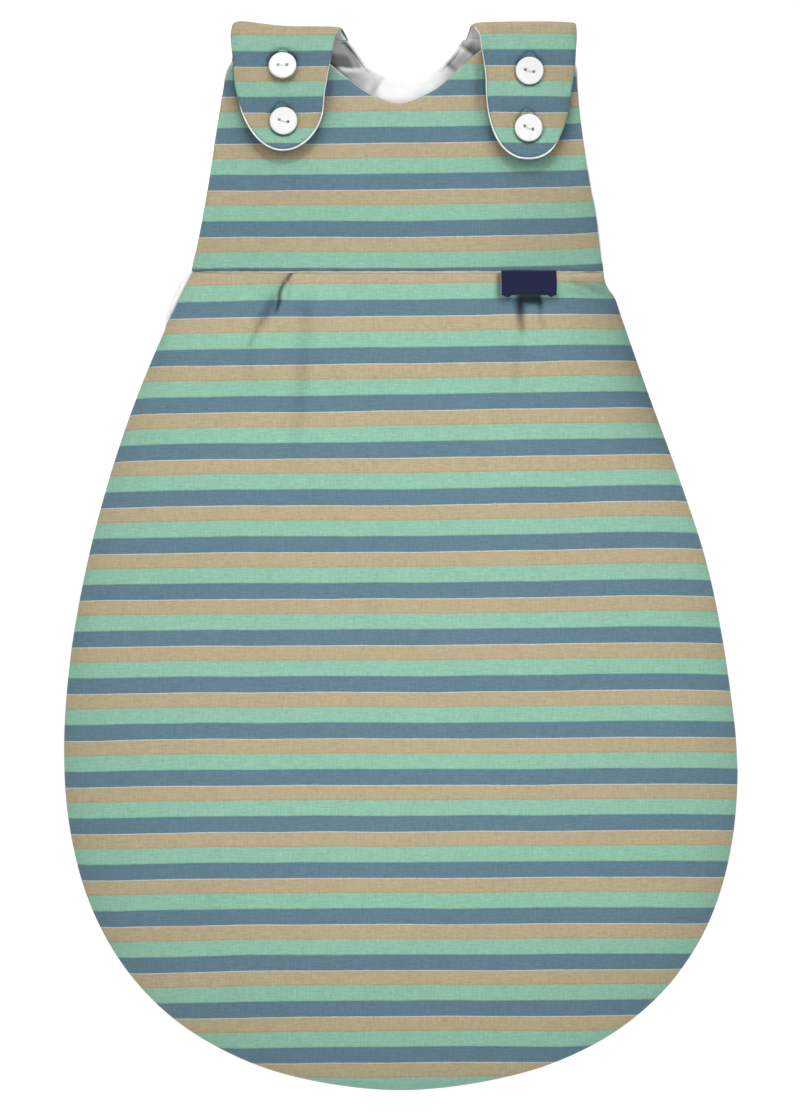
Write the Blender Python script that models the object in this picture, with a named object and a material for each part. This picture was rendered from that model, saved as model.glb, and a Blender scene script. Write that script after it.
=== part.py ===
"""Baby sleeping bag, lying on its back: a pear-shaped padded bag with a bib-like bodice,
two shoulder straps that fold over from the back and button on the front, a side zip and a woven label.

Frame: +X to the wearer's left (right in a view from above), +Y towards the neck, +Z up, away from the
surface that the bag lies on. Origin below the middle of the bag, on that surface. Numbers are millimetres.
"""

import math

import bmesh
import bpy
from mathutils import Matrix, Vector

MM = 0.001
GAP = 0.3  # between pieces that touch

# ---- driving dimensions -------------------------------------------------------------------------
FOLD_TOP_Y = 350.0  # top of the shoulder folds
WAIST_Y = 185.7  # seam between bodice and bag
FOOT_Y = -350.0  # lowest point of the foot
HIP_Y = -135.0  # widest level
HIP_HALF = 220.5
FOOT_POWER = 2.25  # how square the foot's curve is
WAIST_LEFT, WAIST_RIGHT = -135.7, 133.3
BELLY = Vector((0.0, -95.0))  # middle of the padded belly

SIDE_CENTRE = Vector((560.0, -175.0))  # centre of the arc that the left side and its zip follow
SIDE_R = 784.0
SIDE_ARC_END_Y = -60.0

CLOTH = 1.2  # outer jersey
PAD = 5.0  # wadding in the bag
BIB_PAD = 2.0  # wadding in the bodice
LINING = 1.0
FRONT_LIP_Z = 16.5  # lower edge of the front's rim
BACK_LIP_Z = 9.5  # upper edge of the back's rim
BELLY_TOP = 46.0
BIB_TOP = 18.8  # face of the front bodice
BACK_BIB = 4.8  # inner face of the back bodice

STRAP_T = 2.5  # both layers of a strap
STRAP_TOP = 21.6
FOLD_R = STRAP_TOP / 2  # outer radius of the shoulder fold
FOLD_Y = FOLD_TOP_Y - FOLD_R  # fold axis
STRAP_EDGE = 1.0  # how far the white lining shows past the strap
# centre x, tip y, half width at the shoulder, half width where the round end starts, length of the round end
STRAPS = {
    "left": (-77.4, 265.6, 32.6, 30.2, 49.0),
    "right": (83.8, 260.1, 32.2, 28.8, 53.0),
}

BUTTON_R = 9.05
BUTTON_T = 3.0
BUTTON_Z = 23.4  # underside of the button
HOLE_SPREAD = 2.8  # sewing holes from the button's middle
HOLE_R = 0.95
THREAD_R = 0.6
# x, y and the turn of the sewing holes in degrees
BUTTONS = {
    "left_upper": (-77.1, 321.0, 0.0),
    "left_lower": (-76.7, 284.8, -13.0),
    "right_upper": (84.5, 317.3, -14.0),
    "right_lower": (83.8, 280.1, -22.0),
}
PATCH_X, PATCH_Y = 10.6, 15.0  # half sizes of the stitched buttonhole
SLIT_UP, SLIT_DOWN, SLIT_W = 12.0, 8.0, 3.0

LABEL = (63.9, 101.9, 168.3, 185.4)
LABEL_Z, LABEL_T = 19.6, 0.8

TAPE_N = 5.5  # depth of the zip's plane behind the bag's outline
ZIP_TOP_Y, ZIP_END_Y = 182.0, -108.0
SLIDER_Y = 146.0
SLIDER_HALF = 5.5
GARAGE_TOP_Y, GARAGE_END_Y = 183.5, 149.5

# ---- colours ------------------------------------------------------------------------------------
BLUE, MINT, SAND = (0.125, 0.225, 0.305), (0.29, 0.57, 0.43), (0.49, 0.41, 0.245)
WHITE, NAVY = (0.85, 0.85, 0.84), (0.02, 0.018, 0.08)

for old in list(bpy.data.objects):
    bpy.data.objects.remove(old, do_unlink=True)


def material(name, colour, roughness=0.9, metallic=0.0):
    made = bpy.data.materials.get(name)
    if made is None:
        made = bpy.data.materials.new(name)
        made.use_nodes = True
        shader = made.node_tree.nodes["Principled BSDF"]
        shader.inputs["Base Color"].default_value = (*colour, 1.0)
        shader.inputs["Roughness"].default_value = roughness
        shader.inputs["Metallic"].default_value = metallic
    return made


STRIPE = material("striped_jersey", MINT)
LINER = material("white_jersey", WHITE)
WADDING = material("wadding", (0.9, 0.9, 0.9))
PLASTIC = material("button_plastic", (0.9, 0.9, 0.89), 0.35)
THREAD = material("thread", (0.82, 0.82, 0.8))
WOVEN = material("woven_label", NAVY)
ZIP_CLOTH = material("zip_tape", (0.84, 0.84, 0.83))
ZIP_PLASTIC = material("zip_coil", (0.8, 0.8, 0.8), 0.45)
ZIP_METAL = material("zip_metal", (0.78, 0.78, 0.8), 0.35, 0.9)


def add(name, bm, mat, pivot=None):
    """Closes a bmesh into a named object, with its origin on its pivot."""
    bmesh.ops.recalc_face_normals(bm, faces=bm.faces[:])
    at = Vector(pivot) if pivot is not None else Vector((0, 0, 0))
    for v in bm.verts:
        v.co = (v.co - at) * MM
    mesh = bpy.data.meshes.new(name)
    bm.to_mesh(mesh)
    bm.free()
    mesh.materials.append(mat)
    obj = bpy.data.objects.new(name, mesh)
    bpy.context.scene.collection.objects.link(obj)
    obj.location = at * MM
    return obj


def lerp(a, b, t):
    return a + (b - a) * t


def smooth(t):
    t = min(1.0, max(0.0, t))
    return t * t * (3 - 2 * t)


def spline(points, per):
    """A smooth curve through points (Catmull-Rom), 'per' steps for each span, last point included."""
    pts = [Vector(p) for p in points]
    pts = [2 * pts[0] - pts[1], *pts, 2 * pts[-1] - pts[-2]]
    out = []
    for a, b, c, d in zip(pts, pts[1:], pts[2:], pts[3:]):
        for k in range(per):
            t = k / per
            out.append(
                0.5
                * (
                    2 * b
                    + (c - a) * t
                    + (2 * a - 5 * b + 4 * c - d) * t * t
                    + (3 * b - a - 3 * c + d) * t**3
                )
            )
    out.append(pts[-2])
    return out


# ---- the bag's outline --------------------------------------------------------------------------
def side_x(y):
    """x of the left side's arc."""
    return SIDE_CENTRE.x - math.sqrt(SIDE_R**2 - (y - SIDE_CENTRE.y) ** 2)


def bag_outline():
    """Counter-clockwise from the left end of the waist: left side, foot, right side, then back along the waist."""
    left = [Vector((side_x(lerp(WAIST_Y, SIDE_ARC_END_Y, k / 11)), lerp(WAIST_Y, SIDE_ARC_END_Y, k / 11))) for k in range(12)]
    hip = spline([left[-2], left[-1], (-219.6, -100.0), (-HIP_HALF, HIP_Y), (-218.8, -165.0)], 2)[3:7]
    foot = []
    for k in range(1, 22):
        a = math.pi + math.pi * k / 22
        c, s = math.cos(a), math.sin(a)
        foot.append(
            Vector(
                (
                    math.copysign(abs(c) ** (2 / FOOT_POWER), c) * HIP_HALF,
                    HIP_Y + math.copysign(abs(s) ** (2 / FOOT_POWER), s) * (HIP_Y - FOOT_Y),
                )
            )
        )
    right = spline(
        [(220.5, -140.0), (218.4, -107.7), (211.2, -55.3), (200.1, -2.9), (183.1, 49.5), (164.1, 101.9), (149.7, 141.2), (WAIST_RIGHT, WAIST_Y)],
        2,
    )
    waist = [Vector((lerp(WAIST_RIGHT, WAIST_LEFT, k / 8), WAIST_Y)) for k in range(1, 8)]
    return left + hip + foot + right, waist


SIDES, WAIST = bag_outline()
OUTLINE = SIDES + WAIST
COUNT = len(OUTLINE)


def waistness(i):
    """1 along the waist seam, 0 along the sides and foot, easing over the last stretch below the waist."""
    if i >= len(SIDES):
        return 1.0
    return smooth((OUTLINE[i].y - (WAIST_Y - 38.0)) / 34.0)


def inset(i, u):
    p = OUTLINE[i]
    d = BELLY - p
    return p + d.normalized() * u


def ring(u, side_z, waist_z):
    return [Vector((*inset(i, u), lerp(side_z, waist_z, waistness(i)))) for i in range(COUNT)]


def shell(name, top, bottom, top_mid, bottom_mid, mat):
    """A closed sheet between two stacks of rings that run from the rim to the middle."""
    bm = bmesh.new()
    loops = []
    for rows, mid in ((top, top_mid), (bottom, bottom_mid)):
        made = [[bm.verts.new(p) for p in row] for row in rows]
        for a, b in zip(made, made[1:]):
            for i in range(COUNT):
                j = (i + 1) % COUNT
                bm.faces.new((a[i], a[j], b[j], b[i]))
        tip = bm.verts.new((BELLY.x, BELLY.y, mid))
        for i in range(COUNT):
            bm.faces.new((made[-1][i], made[-1][(i + 1) % COUNT], tip))
        loops.append(made[0])
    for i in range(COUNT):
        j = (i + 1) % COUNT
        bm.faces.new((loops[0][i], loops[0][j], loops[1][j], loops[1][i]))
    return add(name, bm, mat)


# Front: depth from the outline, height along the sides, height along the waist.
FACE = [(0.0, 16.5, 18.2), (0.6, 19.5, 18.8), (4.0, 23.0, 18.8), (12.0, 27.5, 18.85), (30.0, 33.5, 20.0), (60.0, 40.0, 29.0), (100.0, 44.8, 40.5), (140.0, BELLY_TOP, BELLY_TOP)]
BACK_OF_FACE = [(1.5, 16.5, 17.6), (2.2, 19.3, 17.6), (5.0, 22.0, 17.6), (12.6, 26.3, 17.6), (30.5, 32.2, 18.7), (60.3, 38.7, 27.7), (100.1, 43.5, 39.2), (140.0, BELLY_TOP - 1.3, BELLY_TOP - 1.3)]
PAD_TOP = [(9.2, 20.6, 17.3)] + [(u, s - GAP, w - GAP) for u, s, w in BACK_OF_FACE[3:]]
PAD_THICK = [(1.6, 2.0), (4.0, 2.0), (PAD, 3.0), (PAD, PAD), (PAD, PAD), (PAD, PAD)]
PAD_LOW = [(u, s - a, w - b) for (u, s, w), (a, b) in zip(PAD_TOP, PAD_THICK)]
LINE_TOP = [(u, s - GAP, w - GAP) for u, s, w in PAD_LOW]
LINE_LOW = [(u, s - LINING, w - LINING) for u, s, w in LINE_TOP]


def rings(rows):
    return [ring(*row) for row in rows]


shell("front_skirt", rings(FACE), rings(BACK_OF_FACE), FACE[-1][1], BACK_OF_FACE[-1][1], STRIPE)
shell("front_skirt_wadding", rings(PAD_TOP), rings(PAD_LOW), PAD_TOP[-1][1], PAD_LOW[-1][1], WADDING)
shell("front_skirt_lining", rings(LINE_TOP), rings(LINE_LOW), LINE_TOP[-1][1], LINE_LOW[-1][1], LINER)

# Back: flat on the surface, with a rim that turns up to the side seam.
REAR_IN = [(1.5, 9.5, 1.2), (2.2, 6.3, 1.2), (5.2, 3.0, 1.2), (11.0, 1.2, 1.2)]
REAR_OUT = [(0.0, 9.5, 0.6), (0.6, 6.0, 0.0), (4.0, 1.8, 0.0), (10.0, 0.0, 0.0)]
REAR_PAD_LOW = [(9.2, 2.4, 1.5), (11.0, 1.5, 1.5)]
REAR_PAD_TOP = [(9.2, 5.2, 3.5), (11.0, 6.0, 3.5), (34.0, 1.5 + PAD, 4.5), (70.0, 1.5 + PAD, 1.5 + PAD)]
REAR_LINE_LOW = [(u, s + GAP, w + GAP) for u, s, w in REAR_PAD_TOP]
REAR_LINE_TOP = [(u, s + LINING, w + LINING) for u, s, w in REAR_LINE_LOW]
shell("back_skirt", rings(REAR_IN), rings(REAR_OUT), 1.2, 0.0, STRIPE)
shell("back_skirt_wadding", rings(REAR_PAD_TOP), rings(REAR_PAD_LOW), REAR_PAD_TOP[-1][1], 1.5, WADDING)
shell("back_skirt_lining", rings(REAR_LINE_TOP), rings(REAR_LINE_LOW), REAR_LINE_TOP[-1][1], REAR_LINE_LOW[-1][1], LINER)


def sweep(name, sections, mat, pivot=None):
    """Joins equal closed sections into one bar with flat ends."""
    bm = bmesh.new()
    made = [[bm.verts.new(p) for p in section] for section in sections]
    n = len(made[0])
    for a, b in zip(made, made[1:]):
        for i in range(n):
            j = (i + 1) % n
            bm.faces.new((a[i], a[j], b[j], b[i]))
    bm.faces.new(made[0])
    bm.faces.new(made[-1])
    return add(name, bm, mat, pivot)


# Side seam: the sewn edges of front and back, from the end of the zip round the foot to the right underarm.
seam = []
for k, p in enumerate(SIDES):
    if (p.x < 0 and p.y > ZIP_END_Y - 20.0) or k == len(SIDES) - 1:
        continue
    a, b = inset(k, 0.0), inset(k, 1.4)
    seam.append([(*a, BACK_LIP_Z + GAP), (*a, FRONT_LIP_Z - GAP), (*b, FRONT_LIP_Z - GAP), (*b, BACK_LIP_Z + GAP)])
sweep("side_seam", seam, STRIPE)


# ---- flat pieces --------------------------------------------------------------------------------
def plate(name, outline, z0, z1, mat, holes=(), pivot=None, warp=None):
    """An outline, less its holes, drawn up from z0 to z1."""
    bm = bmesh.new()
    for loop in (outline, *holes):
        verts = [bm.verts.new((p[0], p[1], z0)) for p in loop]
        for a, b in zip(verts, verts[1:] + verts[:1]):
            bm.edges.new((a, b))
    bmesh.ops.triangle_fill(bm, use_beauty=True, edges=bm.edges[:], normal=(0, 0, 1))
    drawn = bmesh.ops.extrude_face_region(bm, geom=bm.faces[:])
    for v in drawn["geom"]:
        if isinstance(v, bmesh.types.BMVert):
            v.co.z = z1
    if warp:
        for v in bm.verts:
            v.co = warp(v.co)
    return add(name, bm, mat, pivot)


def grown(loop, d):
    """A counter-clockwise outline moved out by d, or in if d is negative."""
    pts = [Vector(p) for p in loop]
    out = []
    for a, b, c in zip(pts[-1:] + pts[:-1], pts, pts[1:] + pts[:1]):
        n1 = Vector(((b - a).y, -(b - a).x)).normalized()
        n2 = Vector(((c - b).y, -(c - b).x)).normalized()
        m = (n1 + n2).normalized()
        out.append(b + m * d / max(0.5, m.dot(n1)))
    return out


BIB_Y = WAIST_Y + GAP
ARM_RIGHT = spline([(133.2, BIB_Y), (128.7, 219.8), (123.5, 246.0), (119.5, 272.2), (116.9, 293.1), (115.6, 312.0)], 2)
ARM_LEFT = spline([(-115.6, 308.9), (-118.2, 293.1), (-121.5, 272.2), (-125.4, 246.0), (-130.0, 219.8), (-135.6, BIB_Y)], 2)
FRONT_NECK = spline([(58.0, 333.0), (46.0, 325.7), (34.0, 314.7), (20.6, 304.0), (0.0, 296.4), (-19.5, 302.0), (-32.8, 311.0), (-45.5, 321.3), (-57.0, 330.0)], 2)
BACK_NECK = spline([(46.0, FOLD_Y - GAP), (34.0, 327.7), (18.0, 315.6), (2.0, 312.0), (-17.4, 317.7), (-29.5, 331.1), (-37.0, FOLD_Y - GAP)], 2)
FRONT_BIB = [*ARM_RIGHT, Vector((110.0, 328.0)), Vector((100.0, 333.5)), *FRONT_NECK, Vector((-100.0, 330.5)), Vector((-108.0, 324.5)), *ARM_LEFT]
BACK_BIB_LINE = [*ARM_RIGHT, Vector((115.9, FOLD_Y - GAP)), *BACK_NECK, Vector((-110.2, FOLD_Y - GAP)), *ARM_LEFT]


def lifted(loop, y):
    """The part of an outline above y, for layers that stop short of the waist seam."""
    return [Vector((p[0], max(p[1], y))) for p in loop]


plate("front_bodice", FRONT_BIB, BIB_TOP - CLOTH, BIB_TOP, STRIPE)
bib_pad = [p for p in lifted(grown(FRONT_BIB, -5.0), 192.0)]
plate("front_bodice_wadding", bib_pad, BIB_TOP - CLOTH - GAP - BIB_PAD, BIB_TOP - CLOTH - GAP, WADDING)
plate("front_bodice_lining", grown(FRONT_BIB, -0.4), 14.0, 15.0, LINER)
plate("back_bodice", BACK_BIB_LINE, 0.0, CLOTH, STRIPE)
plate("back_bodice_wadding", lifted(grown(BACK_BIB_LINE, -5.0), 192.0), CLOTH + GAP, CLOTH + GAP + BIB_PAD, WADDING)
plate("back_bodice_lining", grown(BACK_BIB_LINE, -0.4), BACK_BIB - LINING, BACK_BIB, LINER)

# Sewn allowances along the waist, inside between cloth and lining.
for side, low in (("front", BIB_TOP - CLOTH - GAP - BIB_PAD), ("back", CLOTH + GAP)):
    strip = [(-121.0, 179.6), (119.0, 179.6), (121.0, 191.4), (-124.0, 191.4)]
    plate(side + "_waist_seam", strip, low, low + BIB_PAD, LINER)


# ---- straps, buttonholes, buttons ---------------------------------------------------------------
def strap_line(side, grow=0.0):
    """Counter-clockwise outline of the flap: straight sides that narrow, then a half-elliptic end."""
    x, tip, top_half, half, end = STRAPS[side]
    a, b, start = half + grow, end + grow, tip + end
    line = [Vector((x - top_half - grow, FOLD_Y - GAP)), Vector((x - (top_half * 0.45 + half * 0.55) - grow, (FOLD_Y + start) / 2))]
    for k in range(19):
        w = math.pi + math.pi * k / 18
        line.append(Vector((x + math.cos(w) * a, start + math.sin(w) * b)))
    line += [Vector((x + (top_half * 0.45 + half * 0.55) + grow, (FOLD_Y + start) / 2)), Vector((x + top_half + grow, FOLD_Y - GAP))]
    return line


def ellipse(x, y, rx, ry, n):
    return [Vector((x + rx * math.cos(2 * math.pi * k / n), y + ry * math.sin(2 * math.pi * k / n))) for k in range(n)]


def slit(x, y):
    r, n = SLIT_W / 2, 4
    up = [Vector((x + r * math.cos(math.pi * k / n), y + SLIT_UP - r + r * math.sin(math.pi * k / n))) for k in range(n + 1)]
    down = [Vector((x - r * math.cos(math.pi * k / n), y - SLIT_DOWN + r - r * math.sin(math.pi * k / n))) for k in range(n + 1)]
    return up + down


CLOTH_T = (STRAP_T - GAP) / 2
for side in STRAPS:
    x = STRAPS[side][0]
    hinge = (x, FOLD_Y, FOLD_R)
    spots = [v for k, v in BUTTONS.items() if k.startswith(side)]
    holes = [ellipse(bx, by, PATCH_X + GAP, PATCH_Y + GAP, 20) for bx, by, _ in spots]
    plate(side + "_strap", strap_line(side), STRAP_TOP - CLOTH_T, STRAP_TOP, STRIPE, holes, hinge)
    plate(side + "_strap_lining", strap_line(side, STRAP_EDGE), STRAP_TOP - STRAP_T, STRAP_TOP - STRAP_T + CLOTH_T, LINER, holes, hinge)
    # The shoulder fold: the strap turned over from the back.
    half = STRAPS[side][2]
    turn = []
    for k in range(11):
        a = -math.pi / 2 + math.pi * k / 10
        c, s = math.cos(a), math.sin(a)
        row = []
        for px, r in ((x - half, FOLD_R), (x + half, FOLD_R), (x + half, FOLD_R - STRAP_T), (x - half, FOLD_R - STRAP_T)):
            row.append((px, FOLD_Y + r * c, FOLD_R + r * s))
        turn.append(row)
    sweep(side + "_shoulder_fold", turn, STRIPE)

for name, (bx, by, turn) in BUTTONS.items():
    side = name.split("_")[0]
    hinge = (STRAPS[side][0], FOLD_Y, FOLD_R)
    plate(name + "_buttonhole", ellipse(bx, by, PATCH_X, PATCH_Y, 20), STRAP_TOP - STRAP_T, STRAP_TOP, THREAD, [slit(bx, by)], hinge)

    # Two-hole sewing button, turned about its middle: flat back, round rim, dished face.
    bm = bmesh.new()
    profile = [(0.0, 0.0), (7.6, 0.0), (8.7, 0.6), (BUTTON_R, 1.5), (8.7, 2.5), (7.9, BUTTON_T), (6.9, 2.8), (6.0, 2.0), (0.0, 1.8)]
    verts = [bm.verts.new((r, 0, z)) for r, z in profile]
    edges = [bm.edges.new(pair) for pair in zip(verts, verts[1:])]
    bmesh.ops.spin(bm, geom=verts + edges, cent=(0, 0, 0), axis=(0, 0, 1), angle=2 * math.pi, steps=24, use_merge=True)
    bmesh.ops.remove_doubles(bm, verts=bm.verts[:], dist=1e-4)
    for v in bm.verts:
        v.co += Vector((bx, by, BUTTON_Z))
    button = add(name + "_button", bm, PLASTIC, (bx, by, BUTTON_Z))
    for k, sign in enumerate((-1, 1)):
        bm = bmesh.new()
        ang = math.radians(turn)
        at = Vector((bx + sign * HOLE_SPREAD * math.cos(ang), by + sign * HOLE_SPREAD * math.sin(ang), BUTTON_Z + 1.2))
        bmesh.ops.create_cone(bm, cap_ends=True, segments=12, radius1=HOLE_R, radius2=HOLE_R, depth=6.0, matrix=Matrix.Translation(at))
        drill = add(f"{name}_drill_{k}", bm, PLASTIC)
        drill.hide_render = True
        drill.display_type = "WIRE"
        cut = button.modifiers.new("sewing_hole", "BOOLEAN")
        cut.operation, cut.object, cut.solver = "DIFFERENCE", drill, "EXACT"

    # One thread: up through the buttonhole, through one hole of the button and down the other.
    run = bpy.data.curves.new(name + "_thread", "CURVE")
    run.dimensions, run.bevel_depth, run.bevel_resolution, run.use_fill_caps = "3D", THREAD_R * MM, 1, True
    low, under, over = BIB_TOP + GAP, STRAP_TOP + GAP + THREAD_R, BUTTON_Z + 2.75
    lie = [(0, low), (0, under - 0.2), (0.5, under + 0.02), (HOLE_SPREAD - 0.35, under + 0.05), (HOLE_SPREAD, under + 0.55), (HOLE_SPREAD, over - 0.3), (HOLE_SPREAD - 0.35, over), (0.35 - HOLE_SPREAD, over), (-HOLE_SPREAD, over - 0.3), (-HOLE_SPREAD, BUTTON_Z - 0.1)]
    line = run.splines.new("POLY")
    line.points.add(len(lie) - 1)
    ca, sa = math.cos(math.radians(turn)), math.sin(math.radians(turn))
    for p, (d, z) in zip(line.points, lie):
        p.co = (d * ca * MM, d * sa * MM, (z - BUTTON_Z) * MM, 1.0)
    run.materials.append(THREAD)
    thread = bpy.data.objects.new(name + "_thread", run)
    thread.location = Vector((bx, by, BUTTON_Z)) * MM
    bpy.context.scene.collection.objects.link(thread)

# ---- woven label, sewn into the waist seam by its upper edge ------------------------------------
lx0, lx1, ly0, ly1 = LABEL
plate("woven_label", [(lx0, ly0), (lx1, ly0), (lx1, ly1), (lx0, ly1)], LABEL_Z, LABEL_Z + LABEL_T, WOVEN, (), ((lx0 + lx1) / 2, ly1, LABEL_Z + LABEL_T / 2))


# ---- zip along the left side --------------------------------------------------------------------
def zip_angle(y):
    """Angle on the side's arc, at the zip's plane, for a height y."""
    return math.asin((y - SIDE_CENTRE.y) / (SIDE_R - TAPE_N))


def on_zip(n, angle, z):
    """A point at depth n behind the outline, at an angle on the arc."""
    r = SIDE_R - n
    return Vector((SIDE_CENTRE.x - r * math.cos(angle), SIDE_CENTRE.y + r * math.sin(angle), z))


def along(name, section, y0, y1, steps, mat):
    """A section in depth and height, drawn along the arc."""
    a0, a1 = zip_angle(y0), zip_angle(y1)
    return sweep(name, [[on_zip(n, lerp(a0, a1, k / steps), z) for n, z in section] for k in range(steps + 1)], mat)


def box_section(n0, n1, z0, z1):
    return [(n0, z0), (n1, z0), (n1, z1), (n0, z1)]


along("zip_tape_back", box_section(TAPE_N - 0.4, TAPE_N + 0.4, 5.0, 10.7), ZIP_TOP_Y, ZIP_END_Y, 20, ZIP_CLOTH)
along("zip_tape_front", box_section(TAPE_N - 0.4, TAPE_N + 0.4, 15.3, 17.2), ZIP_TOP_Y, ZIP_END_Y, 20, ZIP_CLOTH)
along("zip_coil_back", box_section(TAPE_N - 1.0, TAPE_N + 1.0, 11.0, 12.5), ZIP_TOP_Y - 4.0, ZIP_END_Y + 4.0, 20, ZIP_PLASTIC)
along("zip_coil_front", box_section(TAPE_N - 1.0, TAPE_N + 1.0, 13.5, 15.0), ZIP_TOP_Y - 4.0, ZIP_END_Y + 4.0, 20, ZIP_PLASTIC)
along("zip_top_stop", box_section(TAPE_N - 1.2, TAPE_N + 1.2, 11.0, 15.0), ZIP_TOP_Y - 0.5, ZIP_TOP_Y - 3.7, 1, ZIP_METAL)
along("zip_bottom_stop", box_section(TAPE_N - 1.3, TAPE_N + 1.3, 11.0, 15.0), ZIP_END_Y + 3.7, ZIP_END_Y + 0.3, 1, ZIP_METAL)

# Garage: a white flap that stands round the zip's top end.
garage = [(-0.4, 19.5), (-2.4, 19.2), (-3.8, 17.6), (-4.3, 15.0), (-4.3, 11.0), (-3.8, 8.4), (-2.4, 6.8), (-0.4, 6.5), (-0.4, 7.7), (-1.9, 7.9), (-2.8, 9.0), (-3.1, 11.2), (-3.1, 14.8), (-2.8, 17.0), (-1.9, 18.1), (-0.4, 18.3)]
along("zip_garage", garage, GARAGE_TOP_Y, GARAGE_END_Y, 4, LINER)

# Slider: two plates round the coil, joined by a thin wedge that runs between the two rows, and a bridge for the tab.
PIVOT_Y = SLIDER_Y
pivot_angle = zip_angle(PIVOT_Y)


def slider_point(n, t, z):
    return on_zip(n, pivot_angle + t / (SIDE_R - TAPE_N), z)


n0 = TAPE_N - 3.0  # outer face of the slider's outer plate
MID_Z = 13.0
tee = [(n0, 9.9), (n0 + 1.4, 9.9), (n0 + 1.4, 12.75), (TAPE_N + 1.4, 12.75), (TAPE_N + 1.4, 9.9), (TAPE_N + 2.6, 9.9), (TAPE_N + 2.6, 16.1), (TAPE_N + 1.4, 16.1), (TAPE_N + 1.4, 13.25), (n0 + 1.4, 13.25), (n0 + 1.4, 16.1), (n0, 16.1)]
turn_at = Vector((SIDE_CENTRE.x, SIDE_CENTRE.y, MID_Z))
slider = sweep("zip_slider", [[slider_point(n, t, z) for n, z in tee] for t in (-SLIDER_HALF, 0.0, SLIDER_HALF)], ZIP_METAL, turn_at)
arch = [(-3.6, n0 + 0.5), (-3.6, n0 - 1.9), (-2.8, n0 - 2.6), (2.8, n0 - 2.6), (3.6, n0 - 1.9), (3.6, n0 + 0.5), (2.6, n0 + 0.5), (2.6, n0 - 1.4), (-2.6, n0 - 1.4), (-2.6, n0 + 0.5)]
bridge = sweep("zip_slider_bridge", [[slider_point(n, t, z) for t, n in arch] for z in (MID_Z - 0.8, MID_Z + 0.8)], ZIP_METAL, turn_at)
bridge.hide_render = True
bridge.display_type = "WIRE"
weld = slider.modifiers.new("bridge", "BOOLEAN")
weld.operation, weld.object, weld.solver = "UNION", bridge, "EXACT"

# Pull tab: a flat bar whose eye goes under the bridge; it lies along the zip.
TAB_N = n0 - 0.7
bar = [(-24.0, 11.2), (-23.0, 10.2), (-5.8, 10.2), (0.5, 10.6), (0.5, 15.4), (-5.8, 15.8), (-23.0, 15.8), (-24.0, 14.8)]
eye = [(-4.6, 11.7), (-4.6, 14.3), (-0.5, 14.3), (-0.5, 11.7)]
plate("zip_pull_tab", bar, TAB_N - 0.5, TAB_N + 0.5, ZIP_METAL, [eye], slider_point(TAB_N, 0.0, MID_Z), lambda p: slider_point(p.z, p.x, p.y))

for obj in bpy.data.objects:
    if obj.type == "MESH" and not obj.hide_render:
        obj.data.shade_smooth()
        obj.data.set_sharp_from_angle(angle=math.radians(35))
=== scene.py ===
"""Looks of a baby sleeping bag: striped heathered jersey over light wadding, white lining, buttoned straps, side zip.

Lengths in the modelling code are millimetres; meshes are written in metres.
"""

import math

import bmesh
import bpy
import numpy as np
from mathutils import Matrix, Vector


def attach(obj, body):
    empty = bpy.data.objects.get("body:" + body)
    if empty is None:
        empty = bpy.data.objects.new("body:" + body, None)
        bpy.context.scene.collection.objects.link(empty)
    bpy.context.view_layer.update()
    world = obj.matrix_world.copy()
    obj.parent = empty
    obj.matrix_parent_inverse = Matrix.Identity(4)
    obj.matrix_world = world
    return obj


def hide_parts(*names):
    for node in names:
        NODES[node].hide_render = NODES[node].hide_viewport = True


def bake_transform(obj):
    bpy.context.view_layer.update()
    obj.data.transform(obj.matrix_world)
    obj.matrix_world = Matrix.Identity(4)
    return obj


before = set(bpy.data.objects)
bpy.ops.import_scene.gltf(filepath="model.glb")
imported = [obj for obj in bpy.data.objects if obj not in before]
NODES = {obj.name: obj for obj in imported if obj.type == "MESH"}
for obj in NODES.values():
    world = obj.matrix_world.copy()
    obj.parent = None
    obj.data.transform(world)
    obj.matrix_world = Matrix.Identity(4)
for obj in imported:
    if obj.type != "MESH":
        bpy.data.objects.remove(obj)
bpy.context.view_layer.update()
MM = 0.001

# ---- the CAD's own numbers ----------------------------------------------------------------------
WAIST_Y = 185.7
BELLY = np.array([0.0, -95.0])
SIDE_C, SIDE_R = np.array([560.0, -175.0]), 784.0
FOLD_Y, FOLD_R, STRAP_TOP = 339.2, 10.8, 21.6
STRAPS = {"left": (-77.4, 265.6, 32.6, 30.2, 49.0), "right": (83.7, 260.1, 32.2, 27.6, 52.5)}
SQUARE = {"left": (1.93, 2.12), "right": (2.3, 2.3)}  # how square the round end is on either side
BUTTONS = {
    "left_upper": (-77.1, 319.75, 0.0, (-18.0, 0.0)),
    "left_lower": (-76.5, 284.0, -13.0, (-2.0, 2.0)),
    "right_upper": (84.4, 316.9, -14.0, (3.0, -2.0)),
    "right_lower": (83.8, 279.45, -22.0, (-2.0, -2.0)),
}
BUTTON_Z = 23.4
PIVOT = {"left_upper": (-77.1, 321.0), "left_lower": (-76.7, 284.8), "right_upper": (84.5, 317.3), "right_lower": (83.8, 280.1)}
TAPE_N = 5.5
SLIDER_Y = 146.0
STRIPE = 30.46  # one repeat of the stripes
EXPOSE = 0.893  # the studio light is set a little over, so that the floor comes out white


# ---- small helpers ------------------------------------------------------------------------------
def smooth(t):
    t = np.clip(t, 0.0, 1.0)
    return t * t * (3 - 2 * t)


def lerp(a, b, t):
    return a + (b - a) * t


def unit(v):
    return v / np.maximum(np.linalg.norm(v, axis=-1, keepdims=True), 1e-9)


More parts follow.
